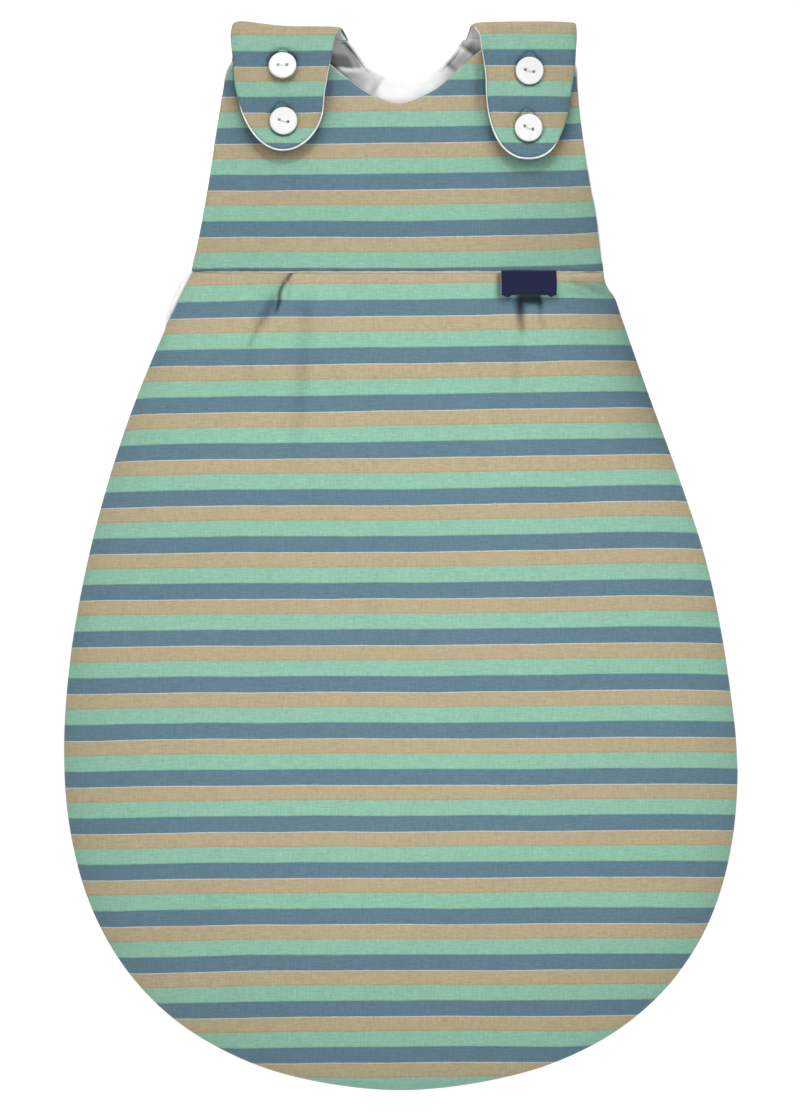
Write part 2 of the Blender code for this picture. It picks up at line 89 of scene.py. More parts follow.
def catmull(points, per):
    pts = np.asarray(points, float)
    pts = np.vstack([2 * pts[0] - pts[1], pts, 2 * pts[-1] - pts[-2]])
    out = []
    for a, b, c, d in zip(pts, pts[1:], pts[2:], pts[3:]):
        t = (np.arange(per) / per)[:, None]
        out.append(0.5 * (2 * b + (c - a) * t + (2 * a - 5 * b + 4 * c - d) * t**2 + (3 * b - a - 3 * c + d) * t**3))
    return np.vstack([*out, pts[-2:-1]])


def resample(line, count, ease=0.0):
    """count points along a line, even, or closer together at its ends."""
    line = np.asarray(line, float)
    step = np.linalg.norm(np.diff(line, axis=0), axis=1)
    s = np.concatenate([[0], np.cumsum(step)])
    t = np.linspace(0, 1, count)
    t = lerp(t, (1 - np.cos(np.pi * t)) / 2, ease)
    return np.stack([np.interp(t * s[-1], s, line[:, k]) for k in range(line.shape[1])], 1)


def pchip(x, xp, fp):
    """Monotone cubic through points."""
    x, xp, fp = np.asarray(x, float), np.asarray(xp, float), np.asarray(fp, float)
    h, d = np.diff(xp), np.diff(fp) / np.diff(xp)
    m = np.zeros_like(xp)
    for k in range(1, len(xp) - 1):
        if d[k - 1] * d[k] > 0:
            w1, w2 = 2 * h[k] + h[k - 1], h[k] + 2 * h[k - 1]
            m[k] = (w1 + w2) / (w1 / d[k - 1] + w2 / d[k])
    m[0], m[-1] = d[0], d[-1] * 0.3
    i = np.clip(np.searchsorted(xp, x) - 1, 0, len(h) - 1)
    t = np.clip((x - xp[i]) / h[i], 0, 1)
    return (
        fp[i] * (1 + 2 * t) * (1 - t) ** 2
        + m[i] * h[i] * t * (1 - t) ** 2
        + fp[i + 1] * t * t * (3 - 2 * t)
        + m[i + 1] * h[i] * t * t * (t - 1)
    )


def waves(x, y, length, seed, count=12):
    """Soft irregular swells of about that wavelength, about -1.5 to 1.5."""
    r = np.random.default_rng(seed)
    out = np.zeros_like(np.asarray(x, float))
    for _ in range(count):
        a, l, p = r.uniform(0, 2 * np.pi), length * r.uniform(0.7, 1.6), r.uniform(0, 2 * np.pi)
        out += np.sin((x * np.cos(a) + y * np.sin(a)) * 2 * np.pi / l + p)
    return out / math.sqrt(count / 2)


def ripple(s, length, seed, count=9):
    """The same along a line."""
    return waves(np.asarray(s, float), np.zeros_like(np.asarray(s, float)), length, seed, count)


def to_line(points, line):
    """Distance of points to a polyline, and how far along it, 0 to 1, the nearest place is, and the signed side."""
    pts, line = np.asarray(points, float), np.asarray(line, float)
    best = np.full(len(pts), 1e9)
    where, side = np.zeros(len(pts)), np.zeros(len(pts))
    seg = np.linalg.norm(np.diff(line, axis=0), axis=1)
    total, run = seg.sum(), 0.0
    for a, b, l in zip(line, line[1:], seg):
        if l < 1e-9:
            continue
        d = (b - a) / l
        v = pts - a
        t = np.clip(v @ d, 0, l)
        off = v - t[:, None] * d
        dist = np.linalg.norm(off, axis=1)
        near = dist < best
        best[near] = dist[near]
        where[near] = (run + t[near]) / total
        side[near] = (d[0] * v[near, 1] - d[1] * v[near, 0])
        run += l
    return best, where, np.sign(side)


def grid_normals(p, wrap):
    du = np.gradient(p, axis=0)
    dv = (np.roll(p, -1, 1) - np.roll(p, 1, 1)) / 2 if wrap else np.gradient(p, axis=1)
    return unit(np.cross(du, dv))


def mesh_object(name, verts, faces, flat=None, outward=True, fold=None):
    mesh = bpy.data.meshes.new(name)
    mesh.from_pydata((np.asarray(verts, float) * MM).tolist(), [], [tuple(int(i) for i in f) for f in faces])
    if flat is not None:
        layer = mesh.attributes.new("flat", "FLOAT_VECTOR", "POINT")
        data = np.zeros((len(verts), 3), np.float32)
        data[:, :2] = np.asarray(flat)[:, :2] * MM
        layer.data.foreach_set("vector", data.ravel())
    # fold: painted shade per point, by which the materials darken the colour
    if fold is not None:
        layer = mesh.attributes.new("fold", "FLOAT", "POINT")
        layer.data.foreach_set("value", np.clip(np.asarray(fold, np.float32), 0, 1))
    bm = bmesh.new()
    bm.from_mesh(mesh)
    loose = [v for v in bm.verts if not v.link_faces]
    bmesh.ops.delete(bm, geom=loose, context="VERTS")
    if outward:
        bmesh.ops.recalc_face_normals(bm, faces=bm.faces[:])
    bm.to_mesh(mesh)
    bm.free()
    mesh.polygons.foreach_set("use_smooth", np.ones(len(mesh.polygons), bool))
    obj = bpy.data.objects.new(name, mesh)
    bpy.context.scene.collection.objects.link(obj)
    return obj


def slab(name, top, bottom, flat=None, mask=None, wrap=False, pole=None, fold=None, pole_flat=None):
    """A closed sheet between two grids. mask leaves faces out, with walls round the gap. pole closes the last row at a point (top, bottom)."""
    rows, cols = top.shape[:2]
    idx, off = np.arange(rows * cols).reshape(rows, cols), rows * cols
    across = cols if wrap else cols - 1
    mask = np.ones((rows - 1, across), bool) if mask is None else mask
    faces = []
    for r in range(rows - 1):
        for c in range(across):
            if not mask[r, c]:
                continue
            n = (c + 1) % cols
            a, b, e, d = idx[r, c], idx[r, n], idx[r + 1, n], idx[r + 1, c]
            faces.append((a, b, e, d))
            faces.append((off + d, off + e, off + b, off + a))
            for p, q, rr, cc in ((a, b, r - 1, c), (b, e, r, c + 1), (e, d, r + 1, c), (d, a, r, c - 1)):
                if pole is not None and rr == rows - 1:
                    continue
                kept = 0 <= rr < rows - 1 and (wrap or 0 <= cc < across)
                if not (kept and mask[rr, cc % across]):
                    faces.append((q, p, off + p, off + q))
    verts = np.vstack([top.reshape(-1, 3), bottom.reshape(-1, 3)])
    coords = None if flat is None else np.vstack([flat.reshape(-1, flat.shape[-1])] * 2)
    deep = None if fold is None else np.concatenate([np.ravel(fold)] * 2)
    if pole is not None:
        verts = np.vstack([verts, np.asarray(pole, float)])
        t, b = len(verts) - 2, len(verts) - 1
        for c in range(cols):
            n = (c + 1) % cols
            faces.append((idx[-1, c], idx[-1, n], t))
            faces.append((off + idx[-1, n], off + idx[-1, c], b))
        if coords is not None:
            coords = np.vstack([coords, pole_flat, pole_flat])
        if deep is not None:
            deep = np.append(deep, [0.0, 0.0])
    return mesh_object(name, verts, faces, coords, fold=deep)


# ---- materials ----------------------------------------------------------------------------------
class Shader:
    """A short way to write a node tree."""

    def __init__(self, name):
        self.mat = bpy.data.materials.new(name)
        self.mat.use_nodes = True
        self.tree = self.mat.node_tree
        self.tree.nodes.clear()
        self.out = self.node("ShaderNodeOutputMaterial")
        self.bsdf = self.node("ShaderNodeBsdfPrincipled")
        self.tree.links.new(self.bsdf.outputs[0], self.out.inputs[0])

    def node(self, kind, **settings):
        made = self.tree.nodes.new(kind)
        for k, v in settings.items():
            setattr(made, k, v)
        return made

    def put(self, socket, value):
        if isinstance(value, bpy.types.NodeSocket):
            self.tree.links.new(value, socket)
        else:
            socket.default_value = value

    def math(self, op, a, b=None, c=None):
        made = self.node("ShaderNodeMath", operation=op)
        for k, v in enumerate((a, b, c)):
            if v is not None:
                self.put(made.inputs[k], v)
        return made.outputs[0]

    def coords(self, attribute=None):
        if attribute:
            return self.node("ShaderNodeAttribute", attribute_name=attribute).outputs["Vector"]
        return self.node("ShaderNodeTexCoord").outputs["Object"]

    def scaled(self, vector, x, y, z):
        made = self.node("ShaderNodeMapping")
        self.put(made.inputs["Vector"], vector)
        made.inputs["Scale"].default_value = (x, y, z)
        return made.outputs[0]

    def noise(self, vector, scale, detail=2.0, rough=0.55):
        made = self.node("ShaderNodeTexNoise")
        self.put(made.inputs["Vector"], vector)
        made.inputs["Scale"].default_value = scale
        made.inputs["Detail"].default_value = detail
        made.inputs["Roughness"].default_value = rough
        return made.outputs["Fac"]

    def ramp(self, factor, stops, mode="LINEAR"):
        made = self.node("ShaderNodeValToRGB")
        made.color_ramp.interpolation = mode
        el = made.color_ramp.elements
        while len(el) > 1:
            el.remove(el[-1])
        el[0].position, el[0].color = stops[0][0], (*stops[0][1], 1)
        for p, c in stops[1:]:
            e = el.new(p)
            e.color = (*c, 1)
        self.put(made.inputs[0], factor)
        return made.outputs[0]

    def mix(self, kind, factor, a, b):
        made = self.node("ShaderNodeMix", data_type="RGBA", blend_type=kind)
        self.put(made.inputs[0], factor)
        self.put(made.inputs[6], a)
        self.put(made.inputs[7], b)
        return made.outputs[2]

    def grey(self, value):
        made = self.node("ShaderNodeCombineColor")
        for k in range(3):
            self.put(made.inputs[k], value)
        return made.outputs[0]

    def folded(self, colour, depth):
        """Painted shade: darker by the mesh's 'fold' attribute, which holds shade painted into creases and hollows,
        along rims, and where straps, label and buttons cast shadow.
        """
        fold = self.node("ShaderNodeAttribute", attribute_name="fold").outputs["Fac"]
        return self.mix("MULTIPLY", 1.0, colour, self.grey(self.math("SUBTRACT", 1.0, self.math("MULTIPLY", fold, depth))))

    def bump(self, height, strength, distance):
        made = self.node("ShaderNodeBump")
        made.inputs["Strength"].default_value = strength
        made.inputs["Distance"].default_value = distance
        self.put(made.inputs["Height"], height)
        self.put(self.bsdf.inputs["Normal"], made.outputs[0])

    def set(self, **values):
        for k, v in values.items():
            self.put(self.bsdf.inputs[k.replace("_", " ")], v)
        return self


def srgb(r, g, b):
    return tuple((c / 255 / 12.92 if c <= 10 else ((c / 255 + 0.055) / 1.055) ** 2.4) for c in (r, g, b))


def knit(s, x, y, wale, course):
    """Height of a plain knit: columns of small V stitches."""
    col = s.math("MULTIPLY", x, 1000 / wale)
    tri = s.math("PINGPONG", col, 0.5)
    row = s.math("ADD", s.math("MULTIPLY", y, 1000 / course), s.math("MULTIPLY", tri, 0.9))
    v = s.math("SINE", s.math("MULTIPLY", row, 2 * math.pi))
    gap = s.math("COSINE", s.math("MULTIPLY", col, 2 * math.pi))
    return s.math("ADD", s.math("MULTIPLY", v, 0.5), s.math("MULTIPLY", gap, -0.5))


def striped_jersey(name="striped_jersey", shade=1.0, ribbed=False):
    """Printed stripes on a heathered jersey, laid out by the cut's own flat coordinates."""
    s = Shader(name)
    flat = s.coords("flat")
    sep = s.node("ShaderNodeSeparateXYZ")
    s.put(sep.inputs[0], flat)
    x, y = sep.outputs[0], sep.outputs[1]
    drift = s.math("MULTIPLY", s.math("SUBTRACT", s.noise(flat, 13.0, 1.0), 0.5), 0.0018)
    wobble = s.math("MULTIPLY", s.math("SUBTRACT", s.noise(flat, 170.0, 2.0), 0.5), 0.0004)
    across = s.math("ADD", y, s.math("ADD", drift, wobble))
    phase = s.math("FRACT", s.math("MULTIPLY", across, -1000 / STRIPE))
    # shade below 1 makes a darker copy of the cloth: painted shade for parts that lie less lit
    sand, mint, blue, line = (tuple(c * shade * EXPOSE for c in srgb(*rgb)) for rgb in ((192, 177, 143), (152, 202, 178), (104, 135, 150), (219, 217, 209)))
    rust, leaf = (tuple(c * shade * EXPOSE for c in srgb(*rgb)) for rgb in ((187, 164, 130), (142, 199, 168)))
    colour = s.ramp(
        phase,
        [(0.0, blue), (0.0025, blue), (0.0075, line), (0.0155, line), (0.027, sand), (0.2885, sand), (0.3205, rust), (0.3385, mint), (0.63, mint), (0.655, leaf), (0.672, blue), (1.0, blue)],
    )
    slub = s.noise(s.scaled(flat, 85, 1050, 1), 1.0, 3.0, 0.7)
    thread = s.noise(s.scaled(flat, 260, 1300, 1), 1.0, 2.0, 0.6)
    warp = s.noise(s.scaled(flat, 900, 110, 1), 1.0, 2.0, 0.6)
    speck = s.noise(flat, 780.0, 2.0, 0.7)
    cloud = s.noise(flat, 22.0, 3.0)
    tone = s.math("ADD", s.math("MULTIPLY", slub, 0.46), s.math("MULTIPLY", thread, 0.36))
    tone = s.math("ADD", tone, s.math("MULTIPLY", warp, 0.33))
    tone = s.math("ADD", tone, s.math("ADD", s.math("MULTIPLY", speck, 0.37), s.math("MULTIPLY", cloud, 0.10)))
    tone = s.math("ADD", tone, 1.0 - 0.81)
    colour = s.mix("MULTIPLY", 1.0, colour, s.grey(tone))
    # single threads that took the dye more yellow or more grey
    melange = s.noise(s.scaled(flat, 120, 900, 3), 1.0, 2.0, 0.6)
    hue = s.ramp(melange, [(0.30, (0.97, 0.985, 1.03)), (0.5, (1.0, 1.0, 1.0)), (0.70, (1.025, 1.005, 0.965))])
    # painted shade from the mesh's 'fold' attribute
    colour = s.folded(s.mix("MULTIPLY", 1.0, colour, hue), 0.9)
    height = s.math("ADD", s.math("MULTIPLY", knit(s, x, y, 0.95, 0.8), 0.5), s.math("MULTIPLY", slub, 1.3))
    s.bump(height, 0.4, 0.00024)
    s.set(Base_Color=colour, Roughness=0.92, Sheen_Weight=0.12, Sheen_Roughness=0.55, Specular_IOR_Level=0.15)
    return s.mat


def white_jersey(name="white_jersey", tint=(0.87, 0.87, 0.87)):
    s = Shader(name)
    at = s.coords("flat")
    sep = s.node("ShaderNodeSeparateXYZ")
    s.put(sep.inputs[0], at)
    fine = s.noise(at, 900.0, 2.0)
    cloud = s.noise(at, 30.0, 2.0)
    tone = s.math("ADD", s.math("MULTIPLY", fine, 0.10), s.math("ADD", s.math("MULTIPLY", cloud, 0.05), 0.925))
    s.bump(knit(s, sep.outputs[0], sep.outputs[1], 1.0, 0.85), 0.3, 0.0002)
    # with painted shade from the mesh's 'fold' attribute
    s.set(Base_Color=s.folded(s.mix("MULTIPLY", 1.0, (*tint, 1), s.grey(tone)), 0.95), Roughness=0.9, Sheen_Weight=0.15, Specular_IOR_Level=0.2)
    return s.mat


def cloth_plain(name, colour, scale, strength=0.3, rough=0.9, vary=0.2):
    """Thread, tape or wadding: a plain colour with a fine fibre in object space."""
    s = Shader(name)
    at = s.coords()
    fibre = s.noise(s.scaled(at, scale, scale * 0.35, scale), 1.0, 3.0, 0.6)
    tone = s.math("ADD", s.math("MULTIPLY", fibre, vary), 1.0 - vary / 2)
    s.bump(fibre, strength, 0.0003)
    s.set(Base_Color=s.mix("MULTIPLY", 1.0, (*colour, 1), s.grey(tone)), Roughness=rough, Specular_IOR_Level=0.2)
    return s.mat


def button_plastic():
    s = Shader("button_plastic")
    at = s.coords()
    cloud = s.noise(at, 420.0, 3.0)
    tone = s.math("ADD", s.math("MULTIPLY", cloud, 0.11), 0.945)
    rough = s.math("ADD", s.math("MULTIPLY", s.noise(at, 900.0, 2.0), 0.16), 0.40)
    s.bump(cloud, 0.12, 0.0002)
    s.set(Base_Color=s.mix("MULTIPLY", 1.0, (0.785, 0.785, 0.785, 1), s.grey(tone)), Roughness=rough, Specular_IOR_Level=0.3)
    return s.mat


def woven_label():
    s = Shader("woven_label")
    flat = s.coords("flat")
    sep = s.node("ShaderNodeSeparateXYZ")
    s.put(sep.inputs[0], flat)
    weft = s.math("SINE", s.math("MULTIPLY", sep.outputs[1], 2 * math.pi * 1000 / 0.42))
    warp = s.math("SINE", s.math("MULTIPLY", sep.outputs[0], 2 * math.pi * 1000 / 0.34))
    weave = s.math("MULTIPLY", weft, warp)
    fine = s.noise(flat, 1400.0, 2.0)
    tone = s.math("ADD", s.math("MULTIPLY", fine, 0.5), s.math("ADD", s.math("MULTIPLY", weave, 0.10), 0.75))
    s.bump(s.math("ADD", s.math("MULTIPLY", weft, 0.6), weave), 0.4, 0.00012)
    s.set(Base_Color=s.mix("MULTIPLY", 1.0, (*srgb(20, 24, 61), 1), s.grey(tone)), Roughness=0.7, Sheen_Weight=0.06, Specular_IOR_Level=0.22)
    return s.mat


def lacquer(name, colour, metallic, rough):
    s = Shader(name)
    at = s.coords()
    wear = s.noise(at, 700.0, 3.0)
    r = s.math("ADD", s.math("MULTIPLY", wear, 0.22), rough - 0.1)
    tone = s.math("ADD", s.math("MULTIPLY", wear, 0.12), 0.94)
    s.bump(wear, 0.06, 0.0002)
    s.set(Base_Color=s.mix("MULTIPLY", 1.0, (*colour, 1), s.grey(tone)), Roughness=r, Metallic=metallic)
    return s.mat


JERSEY, WHITE = striped_jersey(), white_jersey()
# Darker copies of the striped jersey for the straps and the front bodice: painted shade.
STRAP_JERSEY_PAINTED_SHADE, BODICE_JERSEY_PAINTED_SHADE = striped_jersey("strap_jersey_painted_shade", 0.832), striped_jersey("bodice_jersey_painted_shade", 0.885)
WADDING = cloth_plain("wadding", (0.82, 0.82, 0.82), 260, 0.6, 0.95, 0.3)
SEWING = cloth_plain("sewing_thread", (0.64, 0.64, 0.63), 2600, 0.4, 0.75, 0.3)
SEAM_SEWING = cloth_plain("seam_thread", (0.46, 0.455, 0.44), 2600, 0.4, 0.75, 0.3)
# The buttonhole stitching: the striped jersey darkened about as much as the straps, painted shade.
SATIN = striped_jersey("buttonhole_thread", 0.815)
TAPE = cloth_plain("zip_tape", (0.78, 0.78, 0.775), 1500, 0.4, 0.85, 0.25)
PLASTIC, NAVY = button_plastic(), woven_label()
NYLON = lacquer("zip_coil", (0.74, 0.74, 0.74), 0.0, 0.42)
METAL = lacquer("zip_metal", (0.72, 0.73, 0.74), 0.85, 0.34)


def dress(obj, mat):
    obj.data.materials.clear()
    obj.data.materials.append(mat)
    return obj


def stand_in(obj, body, nodes, mat):
    dress(obj, mat)
    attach(obj, body)
    if nodes:
        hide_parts(*nodes)
    return obj


# ---- the bag's outline --------------------------------------------------------------------------
def side_x(y):
    return SIDE_C[0] - np.sqrt(SIDE_R**2 - (np.asarray(y, float) - SIDE_C[1]) ** 2)


def bag_outline(n_side, n_waist):
    y = np.linspace(WAIST_Y, -60.0, 80)
    left = np.stack([side_x(y), y], 1)
    hip = catmull([(side_x(-37.7), -37.7), (side_x(-60.0), -60.0), (-219.6, -100.0), (-220.5, -135.0), (-218.8, -165.0)], 12)[13:36]
    a = np.linspace(np.pi, 2 * np.pi, 160)[1:-1]
    c, s = np.cos(a), np.sin(a)
    foot = np.stack([np.sign(c) * np.abs(c) ** (2 / 2.25) * 220.5, -135.0 + np.sign(s) * np.abs(s) ** (2 / 2.25) * 215.0], 1)
    right = catmull(
        [(220.5, -140.0), (218.4, -107.7), (211.2, -55.3), (200.1, -2.9), (183.1, 49.5), (164.1, 101.9), (151.6, 137.0), (143.6, 159.5), (140.3, 168.6), (136.0, 174.8), (133.9, 180.0), (133.3, WAIST_Y)],
        14,
    )
    sides = resample(np.vstack([left, hip, foot, right]), n_side)
    waist = np.stack([np.linspace(133.3, -135.7, n_waist + 2)[1:-1], np.full(n_waist, WAIST_Y)], 1)
    return np.vstack([trimmed(sides), waist])


FOOT_TRIM = (
    [-180, -172, -166, -160, -145, -134, -128, -122, -114, -106, -100, -95, -90, -85, -80, -74, -66, -58, -52, -46, -41, -35, -29, -23, -18, -8, 5, 15, 180],
    [0, -0.65, -1.25, -1.25, -1.05, -0.95, -1.05, -1.5, -1.2, -1.2, -0.65, 0, 0.6, 0, -0.65, -1.15, -0.6, 0, 1.0, 1.5, 2.2, 2.3, 2.4, 1.8, 1.3, 0.7, 0.4, 0, 0],
)


def trimmed(line):
    """The foot as it was really cut and sewn: fuller on one side by a millimetre or two."""
    angle = np.degrees(np.arctan2(line[:, 1] + 135.0, line[:, 0]))
    off = pchip(angle, *FOOT_TRIM)
    off = np.convolve(np.pad(off, 6, "edge"), np.ones(13) / 13, "valid")
    t = unit(np.gradient(line, axis=0))
    return line + np.stack([-t[:, 1], t[:, 0]], 1) * -off[:, None]


N_SIDE, N_WAIST = 540, 330
OUT = bag_outline(N_SIDE, N_WAIST)
N = len(OUT)
INWARD = unit(BELLY - OUT)
REACH = np.linalg.norm(BELLY - OUT, axis=1)
AROUND = np.concatenate([[0], np.cumsum(np.linalg.norm(np.diff(OUT, axis=0), axis=1))])
ON_WAIST = np.arange(N) >= N_SIDE
WAISTY = np.where(ON_WAIST, 1.0, smooth((OUT[:, 1] - (WAIST_Y - 38.0)) / 34.0))
WAIST_BROAD = np.where(ON_WAIST, 1.0, smooth((OUT[:, 1] - 62.0) / 122.0))
ZIPPED = np.where(ON_WAIST | (OUT[:, 0] > 0), 0.0, smooth((OUT[:, 1] + 137.0) / 14.0))
ZIP_END = smooth((-109.0 - OUT[:, 1]) / 6.0)  # past the zip's lower end the slot has a bottom


def rings(rows):
    """rows of (u, z) along the sides, along the zip, along the waist. Gives the depth and height of each ring all round."""
    u, z = [], []
    for side, zipped, waist in rows:
        us, zs = (lerp(side[k], zipped[k], ZIPPED) for k in range(2))
        u.append(lerp(us, waist[0], WAISTY))
        z.append(lerp(zs, waist[1], WAISTY))
    return np.array(u), np.array(z)


SIDE_LINE = OUT[:N_SIDE:2]
SIDE_UZ = ([0, 0.7, 1.8, 3.4, 5.6, 8.5, 12, 30, 60, 100, 140, 400], [17.2, 18.9, 20.5, 22.1, 23.8, 25.5, 27.3, 33.9, 40.3, 44.7, 46.0, 46.0])
WAIST_UZ = ([0, 0.9, 1.8, 3.2, 5, 9, 14, 30, 60, 100, 140, 200, 400], [17.4, 18.5, 18.9, 19.15, 19.3, 19.4, 19.5, 20.6, 29.2, 40.5, 50.0, 60.0, 80.0])


def crown(p):
    """Height of the front's face: it rises from the side seams and from the waist, whichever is nearer."""
    xy = p[..., :2].reshape(-1, 2)
    side, waist = to_line(xy, SIDE_LINE)[0], np.maximum(WAIST_Y - xy[:, 1], 0)
    a, b = pchip(side, *SIDE_UZ), pchip(waist, *WAIST_UZ)
    k = 1.0 + 5.0 * smooth((np.minimum(side, waist) - 5.0) / 45.0)
    return (np.minimum(a, b) - k * np.log1p(np.exp(-np.abs(a - b) / k))).reshape(p.shape[:2])


def pole_of(p):
    """Where the rings of a grid close: over the belly's middle."""
    return np.array([*BELLY, p[-1, :, 2].mean()])


def place(u, z):
    p = np.empty((*u.shape, 3))
    p[..., :2] = OUT[None] + INWARD[None] * u[..., None]
    p[..., 2] = z
    return p


def seen(p):
    """Where a point shows from straight above, on the plane that the stripes were measured on."""
    eye = np.array([-0.33, -1.64])
    return eye + (p[..., :2] - eye) * (2982.0 / (3000.0 - p[..., 2]))[..., None]


SKIRT_STRIPES = (2.08301, 0.05061, -6.51189, 0.09246, 0.08411, 0.03826, 0.06379, 0.02436, -0.00516, 0.00277, -0.08762, -0.04396, -0.09083, -0.07496, 0.01454, -0.05304, -0.06359, -0.02485, -0.0294, -0.02801, 0.00738)
BODICE_STRIPES = (-0.03063, 0.05962, -6.53026, 0.08128, 0.01696, -0.0619, 0.09106, 0.02511, -0.27675, 0.33656)


def stripe_count(xy, terms, origin):
    """How many repeats below the first white line a point lies: nearly y, with the slight run of the cloth."""
    x, y = xy[..., 0] / 200.0, (xy[..., 1] - origin) / 200.0
    order = int((math.sqrt(8 * len(terms) + 1) - 3) / 2)
    powers = [(n - j, j) for n in range(order + 1) for j in range(n + 1)]
    return sum(c * x**i * y**j for c, (i, j) in zip(terms, powers))


def striped(xy, terms, origin=0.0):
    return np.stack([xy[..., 0], -stripe_count(xy, terms, origin) * STRIPE], -1)


def cut_pattern(p, first):
    """Flat place of each point: as seen from above, and over the rim further out by the length of cloth that goes down it."""
    look = seen(p)
    flat = look.copy()
    out = -INWARD * np.array([1.0, 0.25]) * (1 - WAISTY)[:, None]
    for k in range(first - 1, -1, -1):
        step = np.linalg.norm(p[k] - p[k + 1], axis=-1) - np.linalg.norm(p[k, :, :2] - p[k + 1, :, :2], axis=-1)
        flat[k] = flat[k + 1] + look[k] - look[k + 1] + out * step[:, None]
    return flat


def pleat(xy, line, deep, left, right, crest, begin=None):
    """A fold that starts at the waist seam and runs out: the cloth slopes into a narrow crease on its left and stands up again sharply on its right."""
    d, t, s = to_line(xy, line)
    d = d * s
    fade = smooth((1.0 - t) / 0.7)
    if begin is not None:
        fade = fade * smooth((begin - xy[:, 1]) / 9.0)
    into = np.where(d < 0, np.exp(np.minimum(d, 0) / left), np.exp(-np.maximum(d, 0) / right))
    ridge = crest * smooth(d / (2.2 * right)) * np.exp(-np.maximum(d, 0) / 9.0)
    return fade * (ridge - deep * into)


def crease(xy, line, core, dark, left, right, soft, start=0.04, end=0.6):
    """How dark the bottom of such a fold is: a core and a softer shade to its left and right."""
    d, t, s = to_line(xy, line)
    d = d * s
    fade = smooth((1.0 - t) / end) * smooth((t + 0.01) / start)
    shade = np.where(d < 0, np.exp(np.minimum(d, 0) / left), np.exp(-np.maximum(d, 0) / right))
    return fade * (dark * np.exp(-((d / core) ** 2)) + soft * shade)


LEFT_PLEAT = catmull([(-70.6, 187.0), (-71.7, 184.8), (-74.3, 180.6), (-77.4, 176.4), (-79.3, 170.8), (-79.2, 166.5), (-81.2, 160.2), (-83.5, 154.0)], 8)
LEFT_WEDGE = catmull([(-82.0, 174.0), (-85.0, 165.5), (-88.2, 158.8), (-92.2, 152.6), (-96.0, 144.0)], 8)
LEFT_FLAP = catmull([(-71.8, 182.5), (-72.3, 177.0), (-73.2, 170.0), (-74.5, 163.0)], 8)
LEFT_DIP = catmull([(-62.8, 175.0), (-61.5, 155.0), (-63.0, 138.0), (-65.0, 112.0), (-68.0, 80.0), (-70.0, 46.0)], 8)
LEFT_RUN = catmull([(-97.0, 148.0), (-98.5, 128.0), (-98.0, 98.0)], 8)
BOX_RUN = catmull([(78.5, 152.0), (75.5, 128.0), (74.5, 92.0)], 8)
LEFT_TAIL = catmull([(-87.0, 158.0), (-90.6, 153.6), (-94.6, 146.6), (-98.2, 139.0), (-100.5, 130.0)], 8)
BOX_PLEAT_L = catmull([(78.6, 172.0), (76.8, 168.5), (77.2, 163.0), (78.6, 155.0), (79.8, 147.5), (80.8, 140.0)], 8)
BOX_PLEAT_R = catmull([(89.6, 172.0), (91.0, 167.0), (91.5, 162.0), (91.9, 156.0), (93.0, 151.0), (94.2, 145.0)], 8)
BOX_SHADE_L = catmull([(78.8, 169.0), (78.5, 164.0), (78.3, 160.0), (78.6, 154.0), (79.5, 148.0), (81.0, 139.0)], 8)
BOX_SHADE_R = catmull([(90.6, 169.0), (91.2, 165.0), (91.6, 160.0), (91.9, 156.0), (93.0, 152.5), (94.2, 146.0)], 8)
CORNER_1 = catmull([(106.0, 180.5), (117.3, 177.6), (128.0, 173.6), (138.3, 169.2)], 8)
CORNER_2 = catmull([(105.0, 174.0), (116.0, 172.2), (129.0, 168.4)], 8)
SLACK_1 = catmull([(-74.0, 182.0), (-68.0, 160.0), (-63.0, 130.0), (-60.0, 90.0)], 8)
SLACK_2 = catmull([(-104.0, 176.0), (-112.0, 150.0), (-118.0, 120.0)], 8)
SLACK_3 = catmull([(72.0, 166.0), (70.0, 140.0), (66.0, 100.0)], 8)


def front_relief(xy, u, around):
    """Swells of the wadding, puckers along the seams and the two pleats below the waist."""
    x, y = xy[:, 0], xy[:, 1]
    h = 0.8 * waves(x, y, 150.0, 3) * smooth((u - 6) / 50.0)
    h += 0.26 * waves(x, y, 52.0, 4) * smooth((u - 8) / 30.0)
    down = WAIST_Y - y
    waist = np.exp(-np.maximum(down, 0) / 16.0) * smooth(down / 2.0)
    h += 0.35 * waist * ripple(x, 15.0, 5) + 0.55 * np.exp(-np.maximum(down, 0) / 60.0) * smooth(down / 22.0) * ripple(x + 0.12 * y, 44.0, 6)
    rim = np.exp(-u / 9.0) * smooth(u / 1.5) * (1 - np.exp(-np.maximum(down, 0) / 14.0))
    lively = 0.55 + 0.45 * np.clip(ripple(around, 120.0, 7), -1, 1)
    h += 0.45 * rim * lively * ripple(around, 12.0, 8)
    h += (pleat(xy, LEFT_PLEAT, 2.2, 5.0, 1.1, 1.5) + pleat(xy, LEFT_TAIL, 1.0, 4.5, 1.8, 0.7)) * (0.12 + 0.88 * smooth(down / 9.0))
    h += pleat(xy, BOX_PLEAT_L, 2.3, 4.0, 1.4, 0.9, 178.0)
    h += pleat(xy, BOX_PLEAT_R, 1.9, 1.4, 4.0, 0.2, 177.0)
    # slack that runs down from the pleats
    for line, tall, wide in ((SLACK_1, 0.8, 5.0), (SLACK_2, 0.7, 7.0), (SLACK_3, 0.6, 6.0), (LEFT_DIP, -0.6, 4.5), (CORNER_1, -1.0, 2.6), (CORNER_2, -0.7, 2.2)):
        d, t, side = to_line(xy, line)
        h += tall * np.exp(-((d / wide) ** 2)) * smooth(t / 0.3) * smooth((1 - t) / 0.4)
    return h


